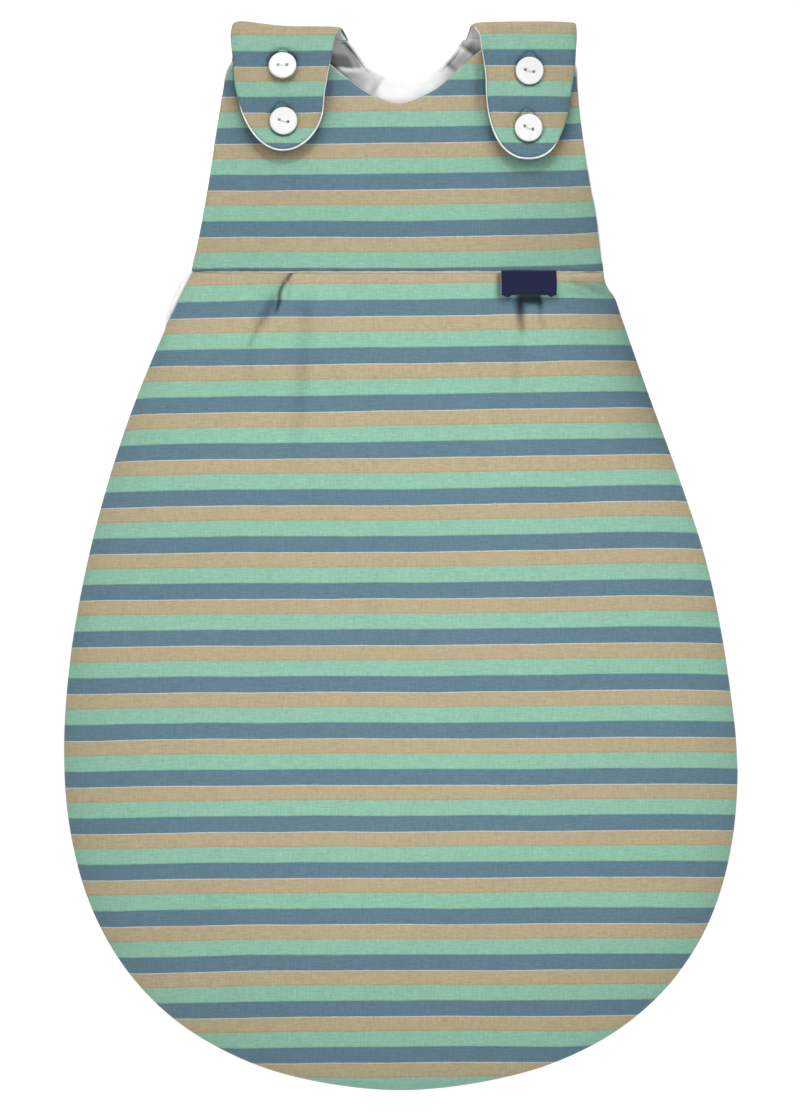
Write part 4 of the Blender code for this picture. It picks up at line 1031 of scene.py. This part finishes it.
def strap_grid(side, grow):
    """Rows from the back of the shoulder over the fold and down the flap to its round end: position of the outer face, flat place, edge distance."""
    x0, tip, top_half, half, end = STRAPS[side]
    start = tip + end
    cols = 81
    a = np.sin(np.linspace(-np.pi / 2, np.pi / 2, cols)) * 0.8 + np.linspace(-1, 1, cols) * 0.2
    if side == "left":
        apex = lambda x: FOLD_Y + pchip(x, [-112, -105, -90, -72, -46, -40, -34], [9.6, 11.6, 9.9, 8.3, 8.0, 7.6, 5.4])
        back, over, begin = (-110.2, -34.3), (-109.6, -37.3), (-110.6, -42.8)
    else:
        apex = lambda x: FOLD_Y + pchip(x, [42, 45.5, 49.5, 56, 70, 95, 112, 118], [5.0, 8.4, 10.3, 10.95, 11.25, 11.4, 10.8, 9.4])
        back, over, begin = (42.9, 115.8), (45.2, 115.4), (52.3, 115.4)
    # the lining shows past the cloth along the inner side and round the end, and stays under it along the outer side
    out = (1, 0) if side == "left" else (0, 1)
    shows = lambda y: (smooth((LINED_BELOW[side] - y) / 14.0) if out[0] else 1.0, smooth((LINED_BELOW[side] - y) / 14.0) if out[1] else 1.0 - 0.6 * smooth((y - 310.0) / 16.0))
    rim = lambda y, share: tuple(grow * share * v - 0.4 * (1 - v) * (grow > 0) for v in shows(y))
    # the outer side is full between the shoulder and the round end, and the left flap is drawn in on its inner side
    if side == "left":
        full = lambda y: (1.2 * math.exp(-(((y - 313.0) / 16.0) ** 2)) + 0.5 * float(smooth((y - 318.0) / 18.0)), -2.1 * math.exp(-(((y - 302.0) / 12.0) ** 2)))
    else:
        full = lambda y: (0.0, 2.0 * math.exp(-(((y - 317.0) / 12.0) ** 2)))
    rows, flats = [], []
    turns = np.radians(np.linspace(-90, 90, 29))
    for w in turns[:-1]:
        t = (w / np.pi) + 0.5
        lo, hi = (lerp(lerp(back[k], over[k], smooth(t * 2)), begin[k], smooth(t * 2 - 1)) for k in range(2))
        inset = (grow > 0) * (1.7 if side == "left" else 1.2) * (1 - smooth((t - 0.5) / 0.35))
        lo, hi = lo - rim(FOLD_Y, 0.3)[0] + inset * out[1], hi + rim(FOLD_Y, 0.3)[1] - inset * out[0]
        lo, hi = lo - full(FOLD_Y)[0] * smooth(t * 2), hi + full(FOLD_Y)[1] * smooth(t * 2)
        x = lerp(lo, hi, (a + 1) / 2)
        reach = apex(np.clip(x, lo, hi)) - FOLD_Y
        rows.append(np.stack([x, FOLD_Y + reach * np.cos(w), np.full(cols, FOLD_R + FOLD_R * math.sin(w))], 1))
        arc = (1 - t) * math.pi * FOLD_R * 0.92
        reach = arc * lerp(0.62, 1.0, smooth(arc / 40.0)) if side == "left" else 11.9 * (1 - math.exp(-1.18 * arc / 11.9))
        flats.append(np.stack([x, np.full(cols, FOLD_Y + reach)], 1))
    straight = np.linspace(FOLD_Y, start, 26)[:-1]
    for y in straight:
        f = (FOLD_Y - y) / (FOLD_Y - start)
        lo = lerp(begin[0], x0 - half, smooth(f) * 0.4 + f * 0.6) - rim(y, lerp(0.2, 0.35, f))[0] - full(y)[0]
        hi = lerp(begin[1], x0 + half, smooth(f) * 0.4 + f * 0.6) + rim(y, lerp(0.2, 0.35, f))[1] + full(y)[1]
        x = lerp(lo, hi, (a + 1) / 2)
        rows.append(np.stack([x, np.full(cols, y), np.full(cols, STRAP_TOP)], 1))
        flats.append(np.stack([x, np.full(cols, y)], 1))
    for q in np.radians(np.concatenate([np.linspace(0, 80, 44), np.linspace(81.5, 89.4, 9)])):
        y = start - (end + grow) * math.sin(q)
        more = [a + b for a, b in zip(rim(y, lerp(0.35, 1.0, smooth(q / 1.1))), full(y))]
        narrow = [(1 - math.sin(q) ** n) ** (1 / n) for n in SQUARE[side]]
        x = x0 + a * (half + np.where(a < 0, *more)) * np.where(a < 0, *narrow)
        rows.append(np.stack([x, np.full(cols, y), np.full(cols, STRAP_TOP)], 1))
        flats.append(np.stack([x, np.full(cols, y)], 1))
    p, flat = np.array(rows), np.array(flats)
    edge = np.vstack([flat[:, 0], flat[::-1, -1]])
    d = to_line(flat.reshape(-1, 2), edge)[0].reshape(flat.shape[:2])
    return p, flat, d


def strap_lift(side, flat, d):
    """How far the flap's face stands above its flat place: padding, the tip's curl and slight swells."""
    x0, tip, top_half, half, end = STRAPS[side]
    on_flap = smooth((FOLD_Y + 12 - flat[..., 1]) / 24.0)
    down = (tip + end - flat[..., 1]) / end
    lift = 1.35 * on_flap + 0.3 * rounded(d, 9.0) * on_flap
    lift += 2.2 * smooth((down - 0.6) / 0.4)
    lift += 0.14 * waves(flat[..., 0], flat[..., 1], 30.0, 71) * on_flap * smooth(d / 6.0)
    return lift


def strap_puff(side, flat):
    """The flap's padding, which the buttons press down."""
    pinch = np.zeros(flat.shape[:2])
    for name, (bx, by, *_) in BUTTONS.items():
        if name.startswith(side):
            pinch = np.maximum(pinch, np.exp(-((np.hypot(flat[..., 0] - bx, flat[..., 1] - by) / 14.5) ** 2)))
    return 2.5 * (1 - smooth(pinch * 1.25)) * smooth((FOLD_Y + 4 - flat[..., 1]) / 18.0)


def slit_mask(side, flat):
    mid = (flat[:-1, :-1] + flat[1:, :-1] + flat[:-1, 1:] + flat[1:, 1:]) / 4
    keep = np.ones(mid.shape[:2], bool)
    for name, (bx, by, *_) in BUTTONS.items():
        if name.startswith(side):
            bx, up = bx + HOLES[name][0], HOLES[name][1]
            keep &= ~((np.abs(mid[..., 0] - bx) < 0.95) & (mid[..., 1] > by - 7.0) & (mid[..., 1] < by + up - 0.7))
    return keep


def hole_path(name, down=4.6, r=2.5):
    """Outline of a buttonhole's stitching, counter-clockwise from its lower right."""
    bx, by = BUTTONS[name][0] + HOLES[name][0], BUTTONS[name][1]
    up = HOLES[name][1]
    straight = np.linspace(by - down, by + up, 60)
    a = np.linspace(0, np.pi, 24)[1:-1]
    return np.vstack(
        [
            np.stack([np.full(60, bx + r), straight], 1),
            np.stack([bx + r * np.cos(a), by + up + r * np.sin(a)], 1),
            np.stack([np.full(60, bx - r), straight[::-1]], 1),
            np.stack([bx - r * np.cos(a), by - down - r * np.sin(a)], 1),
        ]
    )


def strap_painted_shade(side, flat, d):
    """Painted shade on the flap: where the buttonhole's stitching sinks into the cloth, a painted shadow round and
    below each button, a dark arch above it, and where the flap's outer edge turns down.
    """
    x0, tip = STRAPS[side][:2]
    outer = flat[..., 0] < x0 if side == "left" else flat[..., 0] > x0
    dark = (0.10 if side == "left" else 0.34) * np.exp(-d / 4.0) * outer * smooth((flat[..., 1] - tip - 8.0) / 20.0)
    for name, (bx, by, *_) in BUTTONS.items():
        if name.startswith(side):
            line = hole_path(name)[::3]
            off = to_line(flat.reshape(-1, 2), np.vstack([line, line[:1]]))[0].reshape(flat.shape[:2])
            dark = np.maximum(dark, 0.75 * np.exp(-(((off - 1.7) / 0.9) ** 2)))
            r, a = np.hypot(flat[..., 0] - bx, flat[..., 1] - by), np.degrees(np.arctan2(flat[..., 1] - by, flat[..., 0] - bx))
            deep, mid, wide = HOLES[name][2:]
            dark = np.maximum(dark, (0.30 - 0.14 * np.sin(np.radians(a))) * np.exp(-(((r - 9.5) / 1.1) ** 2)))
            dark = np.maximum(dark, (0.7 if name == "left_upper" else 1.05) * smooth((-np.sin(np.radians(a)) - 0.1) / 0.7) * np.exp(-(((r - 9.4) / 0.9) ** 2)))
            dark = np.maximum(dark, deep * np.exp(-(((r - 9.8) / 1.7) ** 2)) * smooth((wide - np.abs(a - mid)) / 30.0))
    return 0.778 * dark


def button_floor(side, flat):
    """How high the flap's face may come under each button, so that the button lies in a dent of its own."""
    high = np.full(flat.shape[:2], 99.0)
    for name, (bx, by, _, (tip_x, tip_y)) in BUTTONS.items():
        if name.startswith(side):
            px, py = PIVOT[name]
            for turn in np.radians((-30, -15, 0, 15, 30)):
                c, s = math.cos(turn), math.sin(turn)
                x = (flat[..., 0] - px) * c + (flat[..., 1] - py) * s + px - bx
                y = (flat[..., 1] - py) * c - (flat[..., 0] - px) * s + py - by
                r = np.hypot(x, y)
                base = BUTTON_Z + abs(tip_x) * 0.05 + y * math.sin(math.radians(tip_x)) - x * math.sin(math.radians(tip_y))
                high = np.where(r < 15, np.minimum(high, base - 0.1 + 0.9 * np.maximum(r - 9.2, 0)), high)
    return np.where(flat[..., 1] < FOLD_Y, high, 99.0)


# sideways offset and height of each buttonhole over its button, and the shade above it
HOLES = {"left_upper": (0.2, 7.3, 0.95, 90, 86), "left_lower": (-1.5, 8.1, 0.8, 105, 66), "right_upper": (0.2, 8.4, 0.7, 95, 76), "right_lower": (-1.1, 8.4, 0.8, 106, 60)}
STRAP_STRIPES = {"left": ((0.01646, 0.04429, -6.58941), 320.2), "right": ((-0.01052, 0.00946, -6.54598), 321.3)}
STRAP_FACE = {}
for side in STRAPS:
    p, flat, d = strap_grid(side, 0.0)
    n = grid_normals(p, False)
    n *= np.sign(n[40, 40, 2])
    lift = strap_lift(side, flat, d) + strap_puff(side, flat)
    face = p + n * (lift - 1.0 * (1 - rounded(d, 2.0)))[..., None]
    face[..., 2] = np.minimum(face[..., 2], button_floor(side, flat))
    STRAP_FACE[side] = (flat, face)
    under = p + n * np.minimum(lift - 1.25, lift - 1.0 * (1 - rounded(d, 2.0)) - 0.25)[..., None]
    under[..., 2] = np.minimum(under[..., 2], np.where(flat[..., 1] < FOLD_Y, face[..., 2] - 0.25, 99.0))
    # the flap carries its painted shade in the 'fold' attribute
    cloth = slab(side + "_strap_cloth", face, under, striped(flat * 1.0017, *STRAP_STRIPES[side]), slit_mask(side, flat), fold=strap_painted_shade(side, flat, d))
    dress(cloth, STRAP_JERSEY_PAINTED_SHADE)
    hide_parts(side + "_strap", side + "_shoulder_fold")
    p, flat, d = strap_grid(side, 1.0)
    n = grid_normals(p, False)
    n *= np.sign(n[40, 40, 2])
    lift = strap_lift(side, flat, np.maximum(d - 1.0, 0))
    outer = flat[..., 0] < STRAPS[side][0] if side == "left" else flat[..., 0] > STRAPS[side][0]
    shows = np.where(outer, smooth((LINED_BELOW[side] - flat[..., 1]) / 14.0), 1.0)
    lip = lerp(-0.5, 0.85, shows) * np.exp(-((d / 0.9) ** 2)) + strap_puff(side, flat)
    inner_top = p + n * (lift - 1.45 + lip)[..., None]
    sole = 2.45 + 1.0 * smooth((FOLD_Y - 4 - flat[..., 1]) / 14.0) * np.exp(-((d / 9.0) ** 2))
    inner_low = p + n * (lift - sole + 0.35 * np.exp(-((d / 0.6) ** 2)))[..., None]
    inner_top[..., 2] = np.minimum(inner_top[..., 2], button_floor(side, flat) - 0.5)
    inner_low[..., 2] = np.minimum(inner_low[..., 2], np.where(flat[..., 1] < FOLD_Y, inner_top[..., 2] - 0.35, 99.0))
    lining = slab(side + "_strap_lining_cloth", inner_top, inner_low, flat, slit_mask(side, flat))
    dress(lining, WHITE)
    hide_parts(side + "_strap_lining")
    for piece in (cloth, lining):
        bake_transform(piece)


def strap_height(side, x, y):
    flat, face = STRAP_FACE[side]
    i = np.argmin((flat[29:, :, 0] - x) ** 2 + (flat[29:, :, 1] - y) ** 2)
    return float(face[29:].reshape(-1, 3)[i, 2])


# ---- buttonholes, buttons, thread ---------------------------------------------------------------
def buttonhole(name, side, bx, by):
    """A slit bound with close stitches in the cloth's own colours."""
    path = hole_path(name)
    path = resample(np.vstack([path, path[:1]]), 361)[:-1]
    t = unit(np.roll(path, -1, 0) - np.roll(path, 1, 0))
    out = np.stack([t[:, 1], -t[:, 0]], 1)
    s = np.arange(len(path))
    rib = 0.5 + 0.5 * np.cos(s * 2 * np.pi / 4)
    w = np.linspace(-1, 1, 9)
    p = np.empty((9, len(path), 3))
    flat, face = STRAP_FACE[side]
    here = (np.abs(flat[..., 0] - bx) < 9) & (np.abs(flat[..., 1] - by) < 18) & (face[..., 2] > FOLD_R)
    base = float(np.median(face[here][:, 2]))
    for k, v in enumerate(w):
        reach = v * (1.45 + 0.14 * np.sin(s * 1.7) + 0.08 * np.sin(s * 0.61))
        p[k, :, :2] = path + out * reach[:, None]
        height = np.array([strap_height(side, *q) for q in p[k, :, :2]])
        p[k, :, 2] = lerp(height, base, 0.25) + (0.75 - 0.2 * (1 - rib)) * math.sqrt(max(0.0, 1 - v * v * 0.94)) - 0.22
    low = p.copy()
    low[..., 2] -= 0.35
    return slab(name + "_buttonhole_stitch", p, low, striped(p[..., :2] * 1.0017, *STRAP_STRIPES[side]), wrap=True)


def button_mesh():
    bm = bmesh.new()
    profile = catmull(
        [(0.0, 0.15), (5.0, 0.05), (7.4, 0.1), (8.5, 0.45), (8.98, 1.15), (9.04, 1.9), (8.97, 2.45), (8.72, 2.78), (8.25, 2.95), (7.6, 3.0), (6.5, 2.94), (4.6, 2.84), (2.5, 2.8), (0.0, 2.8)],
        3,
    )
    verts = [bm.verts.new((max(r, 0.0) * MM, 0, z * MM)) for r, z in profile]
    edges = [bm.edges.new(pair) for pair in zip(verts, verts[1:])]
    bmesh.ops.spin(bm, geom=verts + edges, cent=(0, 0, 0), axis=(0, 0, 1), angle=2 * math.pi, steps=72, use_merge=True)
    bmesh.ops.remove_doubles(bm, verts=bm.verts[:], dist=1e-6)
    bmesh.ops.recalc_face_normals(bm, faces=bm.faces[:])
    mesh = bpy.data.meshes.new("button")
    bm.to_mesh(mesh)
    bm.free()
    body = bpy.data.objects.new("button_blank", mesh)
    bpy.context.scene.collection.objects.link(body)
    drills = []
    for sign in (-1, 1):
        dm = bpy.data.meshes.new("drill")
        db = bmesh.new()
        ring = [(0.0, -3.0), (0.9, -3.0), (0.9, 2.3), (0.97, 2.55), (1.16, 2.78), (1.5, 4.0), (0.0, 4.0)]
        dv = [db.verts.new((r * MM, 0, z * MM)) for r, z in ring]
        de = [db.edges.new(pair) for pair in zip(dv, dv[1:])]
        bmesh.ops.spin(db, geom=dv + de, cent=(0, 0, 0), axis=(0, 0, 1), angle=2 * math.pi, steps=24, use_merge=True)
        bmesh.ops.remove_doubles(db, verts=db.verts[:], dist=1e-6)
        bmesh.ops.recalc_face_normals(db, faces=db.faces[:])
        db.to_mesh(dm)
        db.free()
        drill = bpy.data.objects.new("drill", dm)
        bpy.context.scene.collection.objects.link(drill)
        drill.location = (sign * 2.8 * MM, 0, 0)
        cut = body.modifiers.new("hole", "BOOLEAN")
        cut.operation, cut.object, cut.solver = "DIFFERENCE", drill, "EXACT"
        drills.append(drill)
    bpy.context.view_layer.update()
    made = bpy.data.meshes.new_from_object(body.evaluated_get(bpy.context.evaluated_depsgraph_get()))
    for o in (body, *drills):
        bpy.data.objects.remove(o)
    made.polygons.foreach_set("use_smooth", np.ones(len(made.polygons), bool))
    made.set_sharp_from_angle(angle=math.radians(40))
    return made


BUTTON = button_mesh()
for name, (bx, by, turn, (tip_x, tip_y)) in BUTTONS.items():
    side = name.split("_")[0]
    ring = buttonhole(name, side, bx, by)
    stand_in(ring, side + "_strap", [name + "_buttonhole"], SATIN)
    pose = Matrix.Translation(Vector((bx, by, BUTTON_Z + 0.15 + abs(tip_x) * 0.05)) * MM) @ Matrix.Rotation(math.radians(tip_x), 4, "X") @ Matrix.Rotation(math.radians(tip_y), 4, "Y") @ Matrix.Rotation(math.radians(turn), 4, "Z")
    button = bpy.data.objects.new(name + "_sewn_button", BUTTON.copy())
    bpy.context.scene.collection.objects.link(button)
    button.matrix_world = pose
    stand_in(button, name + "_button", [name + "_button"], PLASTIC)
    # Thread: two fine strands between the holes, down into a wound shank.
    parts = []
    for dy in (-0.17, 0.17):
        line = [(2.75, dy * 0.5 - 0.1, -0.4), (2.66, dy - 0.15, 1.4), (2.3, dy - 0.28, 2.72), (1.5, dy - 0.42, 3.0), (0.0, dy - 0.5, 3.02), (-1.5, dy - 0.42, 3.0), (-2.3, dy - 0.28, 2.72), (-2.66, dy - 0.15, 1.4), (-2.75, dy * 0.5 - 0.1, -0.4)]
        parts.append(tube("", resample(catmull(line, 6), 48), 0.18, 6))
    turns = np.linspace(0, 7 * 2 * np.pi, 120)
    shank = np.stack([0.7 * np.cos(turns), 0.7 * np.sin(turns), np.linspace(-4.1, -0.45, 120)], 1)
    core = np.array([[0, 0, z] for z in np.linspace(-4.3, -0.1, 8)])
    upright = np.array(pose.to_3x3())
    foot = np.array([PIVOT[name][0] - bx, PIVOT[name][1] - by, 0.0])
    parts.append(tube("", (shank + foot) @ upright, 0.3, 6))
    parts.append(tube("", (core + foot) @ upright, 0.65, 10))
    verts, faces = join(parts)
    thread = mesh_object(name + "_sewing_thread", verts, faces)
    thread.matrix_world = pose
    stand_in(thread, name + "_button", [name + "_thread"], SEWING)


# ---- woven label --------------------------------------------------------------------------------
def label():
    cols, rows = 64, 36
    a, b = np.linspace(0, 1, cols), np.linspace(0, 1, rows)
    A, B = np.meshgrid(a, b)
    x = lerp(65.9, 102.0, A) + 0.25 * np.sin(B * 3)
    fray = 0.22 * np.sin(A * 43.0) * np.sin(A * 17.0) + 1.2 * np.exp(-(((A - 0.90) / 0.05) ** 2)) - 0.7 * np.exp(-(((A - 0.5) / 0.14) ** 2)) + 1.7 * np.exp(-(((A - 0.11) / 0.06) ** 2))
    y = 186.7 - 16.4 * B - fray * B**5
    z = 20.3 + (3.3 + 0.8 * (1 - A)) * smooth(B * 1.15) + 0.35 * np.sin(A * np.pi * 2.0 + 0.6) * B**2 + 0.5 * np.exp(-(((A - 0.5) / 0.2) ** 2)) * B**3
    z[0] -= 1.9
    z[1] -= 0.7
    face = np.dstack([x, y, z])
    under = face - [0, 0, 0.55]
    flat = np.dstack([x, y])
    return slab("navy_label", face, under, flat)


tag = label()
stand_in(tag, "woven_label", ["woven_label"], NAVY)


# ---- zip ----------------------------------------------------------------------------------------
def zip_angle(y):
    return math.asin((y - SIDE_C[1]) / (SIDE_R - TAPE_N))


def on_zip(n, angle, z):
    r = SIDE_R - np.asarray(n, float)
    return np.stack(np.broadcast_arrays(SIDE_C[0] - r * np.cos(angle), SIDE_C[1] + r * np.sin(angle), z), -1)


def coil(name, z, hand):
    """A row of nylon coil: one continuous wire in loops 1.5 mm apart."""
    top, low = zip_angle(177.6), zip_angle(-103.8)
    turns = int((top - low) * (SIDE_R - TAPE_N) / 1.5)
    t = np.linspace(0, turns, turns * 10 + 1)
    angle = lerp(top, low, t / turns)
    w = t * 2 * np.pi
    n = TAPE_N + 0.62 * np.cos(w)
    zz = z + hand * 0.42 * np.sin(w)
    return tube(name, on_zip(n, angle, zz), 0.32, 5)


for node, z, hand in (("zip_coil_back", 11.78, 1), ("zip_coil_front", 14.22, -1)):
    verts, faces = coil(node, z, hand)
    # the sewn cord inside the coil
    ang = np.linspace(zip_angle(177.6), zip_angle(-103.8), 120)
    verts, faces = join([(verts, faces), tube("", on_zip(np.full(120, TAPE_N), ang, np.full(120, z)), 0.26, 6)])
    stand_in(mesh_object(node + "_wire", verts, faces), "bag", [node], NYLON)

pivot = zip_angle(SLIDER_Y)
n0 = TAPE_N - 3.0


def slider_point(n, t, z):
    return on_zip(n, pivot + np.asarray(t, float) / (SIDE_R - TAPE_N), z)


def prism(name, outline, to_point, low, high, bevel, segments=3):
    """An outline drawn between two heights, with rounded edges."""
    bm = bmesh.new()
    verts = [bm.verts.new(Vector((float(a), float(b), low))) for a, b in outline]
    face = bm.faces.new(verts)
    drawn = bmesh.ops.extrude_face_region(bm, geom=[face])
    for v in drawn["geom"]:
        if isinstance(v, bmesh.types.BMVert):
            v.co.z = high
    bmesh.ops.recalc_face_normals(bm, faces=bm.faces[:])
    bmesh.ops.bevel(bm, geom=bm.edges[:], offset=bevel, segments=segments, affect="EDGES", clamp_overlap=True)
    pts = [to_point(v.co) for v in bm.verts]
    faces = [[v.index for v in f.verts] for f in bm.faces] if bm.verts.index_update() is None else []
    bm.free()
    return np.array(pts).reshape(-1, 3), faces


def ring_plate(outer, inner, to_point, low, high):
    """A flat bar with an eye, its edges eased."""
    def grown(loop, d):
        loop = np.asarray(loop, float)
        t1, t2 = unit(loop - np.roll(loop, 1, 0)), unit(np.roll(loop, -1, 0) - loop)
        n = unit(np.stack([(t1 + t2)[:, 1], -(t1 + t2)[:, 0]], 1))
        return loop + n * d

    levels = [(low, -0.18), (low + 0.2, 0.0), (high - 0.2, 0.0), (high, -0.18)]
    count = len(outer)
    pts, idx = [], {}
    for k, (h, d) in enumerate(levels):
        for which, loop, sign in (("o", outer, 1), ("i", inner, -1)):
            for j, q in enumerate(grown(loop, d * sign)):
                idx[which, k, j] = len(pts)
                pts.append(to_point(Vector((q[0], q[1], h))))
    faces = []
    for j in range(count):
        m = (j + 1) % count
        for k in range(3):
            faces.append((idx["o", k, j], idx["o", k, m], idx["o", k + 1, m], idx["o", k + 1, j]))
            faces.append((idx["i", k, m], idx["i", k, j], idx["i", k + 1, j], idx["i", k + 1, m]))
        faces.append((idx["o", 0, m], idx["o", 0, j], idx["i", 0, j], idx["i", 0, m]))
        faces.append((idx["o", 3, j], idx["o", 3, m], idx["i", 3, m], idx["i", 3, j]))
    return np.array(pts).reshape(-1, 3), faces


# Slider: shield-shaped plates either side of the coil, a wedge between the rows, and an arched bridge.
shield = [(-5.4, 10.5), (-4.2, 9.95), (2.0, 9.95), (5.4, 10.6), (5.4, 15.4), (2.0, 16.05), (-4.2, 16.05), (-5.4, 15.5)]
wedge = [(-4.6, 12.78), (4.6, 12.78), (4.6, 13.22), (-4.6, 13.22)]
parts = [
    prism("", shield, lambda v: slider_point(v.z, v.x, v.y), n0, n0 + 1.35, 0.35),
    prism("", shield, lambda v: slider_point(v.z, v.x, v.y), TAPE_N + 1.4, TAPE_N + 2.55, 0.35),
    prism("", wedge, lambda v: slider_point(v.z, v.x, v.y), n0 + 0.9, TAPE_N + 1.8, 0.1, 2),
]
w = np.linspace(0, np.pi, 17)
arch = np.stack([3.1 * np.cos(w), n0 + 0.4 - 2.55 * np.minimum(1.0, 1.35 * np.sin(w))], 1)
line = slider_point(arch[:, 1], arch[:, 0], np.full(17, 13.0))
parts.append(tube("", resample(line, 40), 0.62, 10))
verts, faces = join(parts)
slider = mesh_object("zip_slider_body", verts, faces, outward=True)
stand_in(slider, "zip_slider", ["zip_slider"], METAL)

TAB_N = n0 - 0.7
k = np.linspace(0, 2 * np.pi, 40, endpoint=False)
outer = np.stack([-11.8 + 12.2 * np.sign(np.cos(k)) * np.abs(np.cos(k)) ** 0.42, 13.0 + (2.75 + 0.25 * np.cos(k) * -1) * np.sign(np.sin(k)) * np.abs(np.sin(k)) ** 0.55], 1)
inner = np.stack([-2.6 + 2.05 * np.sign(np.cos(k)) * np.abs(np.cos(k)) ** 0.5, 13.0 + 1.25 * np.sign(np.sin(k)) * np.abs(np.sin(k)) ** 0.5], 1)
verts, faces = ring_plate(outer, inner, lambda v: slider_point(v.z, v.x, v.y), TAB_N - 0.5, TAB_N + 0.5)
stand_in(mesh_object("zip_tab", verts, faces), "zip_pull_tab", ["zip_pull_tab"], METAL)


def garage():
    """A soft white flap folded round the zip's top end, full in its middle and tapering into the seam."""
    section = catmull([(1.0, 15.2), (0.0, 16.0), (-1.6, 16.8), (-3.2, 16.3), (-4.2, 14.9), (-4.5, 13.0), (-4.2, 11.1), (-3.2, 9.7), (-1.6, 9.2), (0.0, 9.8), (1.0, 10.8)], 4)
    rows, flats = [], []
    top, low = zip_angle(184.5), zip_angle(147.0)
    for t in np.linspace(0, 1, 44):
        swell = 0.06 + 0.94 * math.sin(math.pi * min(1.0, 0.02 + 0.96 * t)) ** 0.75
        n = np.where(section[:, 0] < 0, section[:, 0] * swell, section[:, 0]) + 0.1 * np.sin(t * 37 + section[:, 1] * 0.4)
        rows.append(on_zip(n, lerp(top, low, t), section[:, 1] + 0.1 * np.sin(t * 23)))
        flats.append(np.stack([np.linspace(0, 24, len(section)), np.full(len(section), t * 42)], 1))
    p = np.array(rows)
    normal = grid_normals(p, False)
    normal *= -np.sign(normal[22, 20, 0])
    return slab("zip_garage_flap", p, p - normal * 0.9, np.array(flats))


flap = stand_in(garage(), "bag", ["zip_garage"], WHITE)

# CAD pieces that keep their own shape.
for node, mat, slot in (
    ("zip_tape_front", TAPE, "zip_tape"),
    ("zip_tape_back", TAPE, "zip_tape"),
    ("zip_top_stop", METAL, "zip_metal"),
    ("zip_bottom_stop", METAL, "zip_metal"),
    ("back_skirt_wadding", WADDING, "wadding"),
    ("back_bodice_wadding", WADDING, "wadding"),
    ("front_waist_seam", WADDING, "white_jersey"),
    ("back_waist_seam", WADDING, "white_jersey"),
):
    dress(NODES[node], mat)

# ---- floor, light, camera -----------------------------------------------------------------------
floor_shader = Shader("floor")
speck = floor_shader.noise(floor_shader.coords(), 40.0, 2.0)
floor_shader.set(Base_Color=floor_shader.mix("MULTIPLY", 1.0, (0.25, 0.25, 0.25, 1), floor_shader.grey(floor_shader.math("ADD", floor_shader.math("MULTIPLY", speck, 0.01), 0.995))), Roughness=0.95, Emission_Color=(1, 1, 1, 1), Emission_Strength=0.85)
bm = bmesh.new()
bmesh.ops.create_grid(bm, x_segments=2, y_segments=2, size=3.0)
mesh = bpy.data.meshes.new("floor")
bm.to_mesh(mesh)
bm.free()
floor = bpy.data.objects.new("floor", mesh)
floor.location = (0, 0, -0.0004)
bpy.context.scene.collection.objects.link(floor)
dress(floor, floor_shader.mat)

scene = bpy.context.scene
world = bpy.data.worlds.new("studio")
scene.world = world
world.use_nodes = True
world.node_tree.nodes["Background"].inputs[0].default_value = (1.0, 1.0, 1.0, 1)
world.node_tree.nodes["Background"].inputs[1].default_value = 0.44


def area_light(name, at, aim, size, power, spread=180.0, wide=None):
    data = bpy.data.lights.new(name, "AREA")
    data.shape, data.size, data.energy, data.spread = "DISK", size, power, math.radians(spread)
    if wide:
        data.shape, data.size, data.size_y = "RECTANGLE", wide, size
    obj = bpy.data.objects.new(name, data)
    obj.location = at
    obj.rotation_euler = (Vector(aim) - Vector(at)).to_track_quat("-Z", "Y").to_euler()
    scene.collection.objects.link(obj)
    return obj


area_light("overhead", (0.01, -0.08, 1.35), (0.01, -0.08, 0), 0.5, 0.93, 56.0)
area_light("left", (-0.85, 0.78, 0.98), (0, 0, 0), 0.4, 3.0)
area_light("right", (0.85, 0.78, 0.98), (0, 0, 0), 0.4, 3.2)
area_light("top", (0.0, 1.0, 0.75), (0, 0.29, 0.02), 0.12, 0.13, 20.0, 0.55)
area_light("foot", (0.0, -1.1, 0.7), (0, -0.34, 0.02), 0.12, 0.009, 16.0, 0.6)
scene.view_settings.view_transform = "Standard"
scene.view_settings.look = "None"
scene.view_settings.exposure = 0.0

cam = bpy.data.cameras.new("camera")
cam.sensor_width, cam.lens = 36.0, 36.0 * 2.982 / 0.731
cam.clip_start, cam.clip_end = 0.05, 20.0
camera = bpy.data.objects.new("camera", cam)
camera.location = (-0.00033, -0.00164, 3.0)
scene.collection.objects.link(camera)
scene.camera = camera
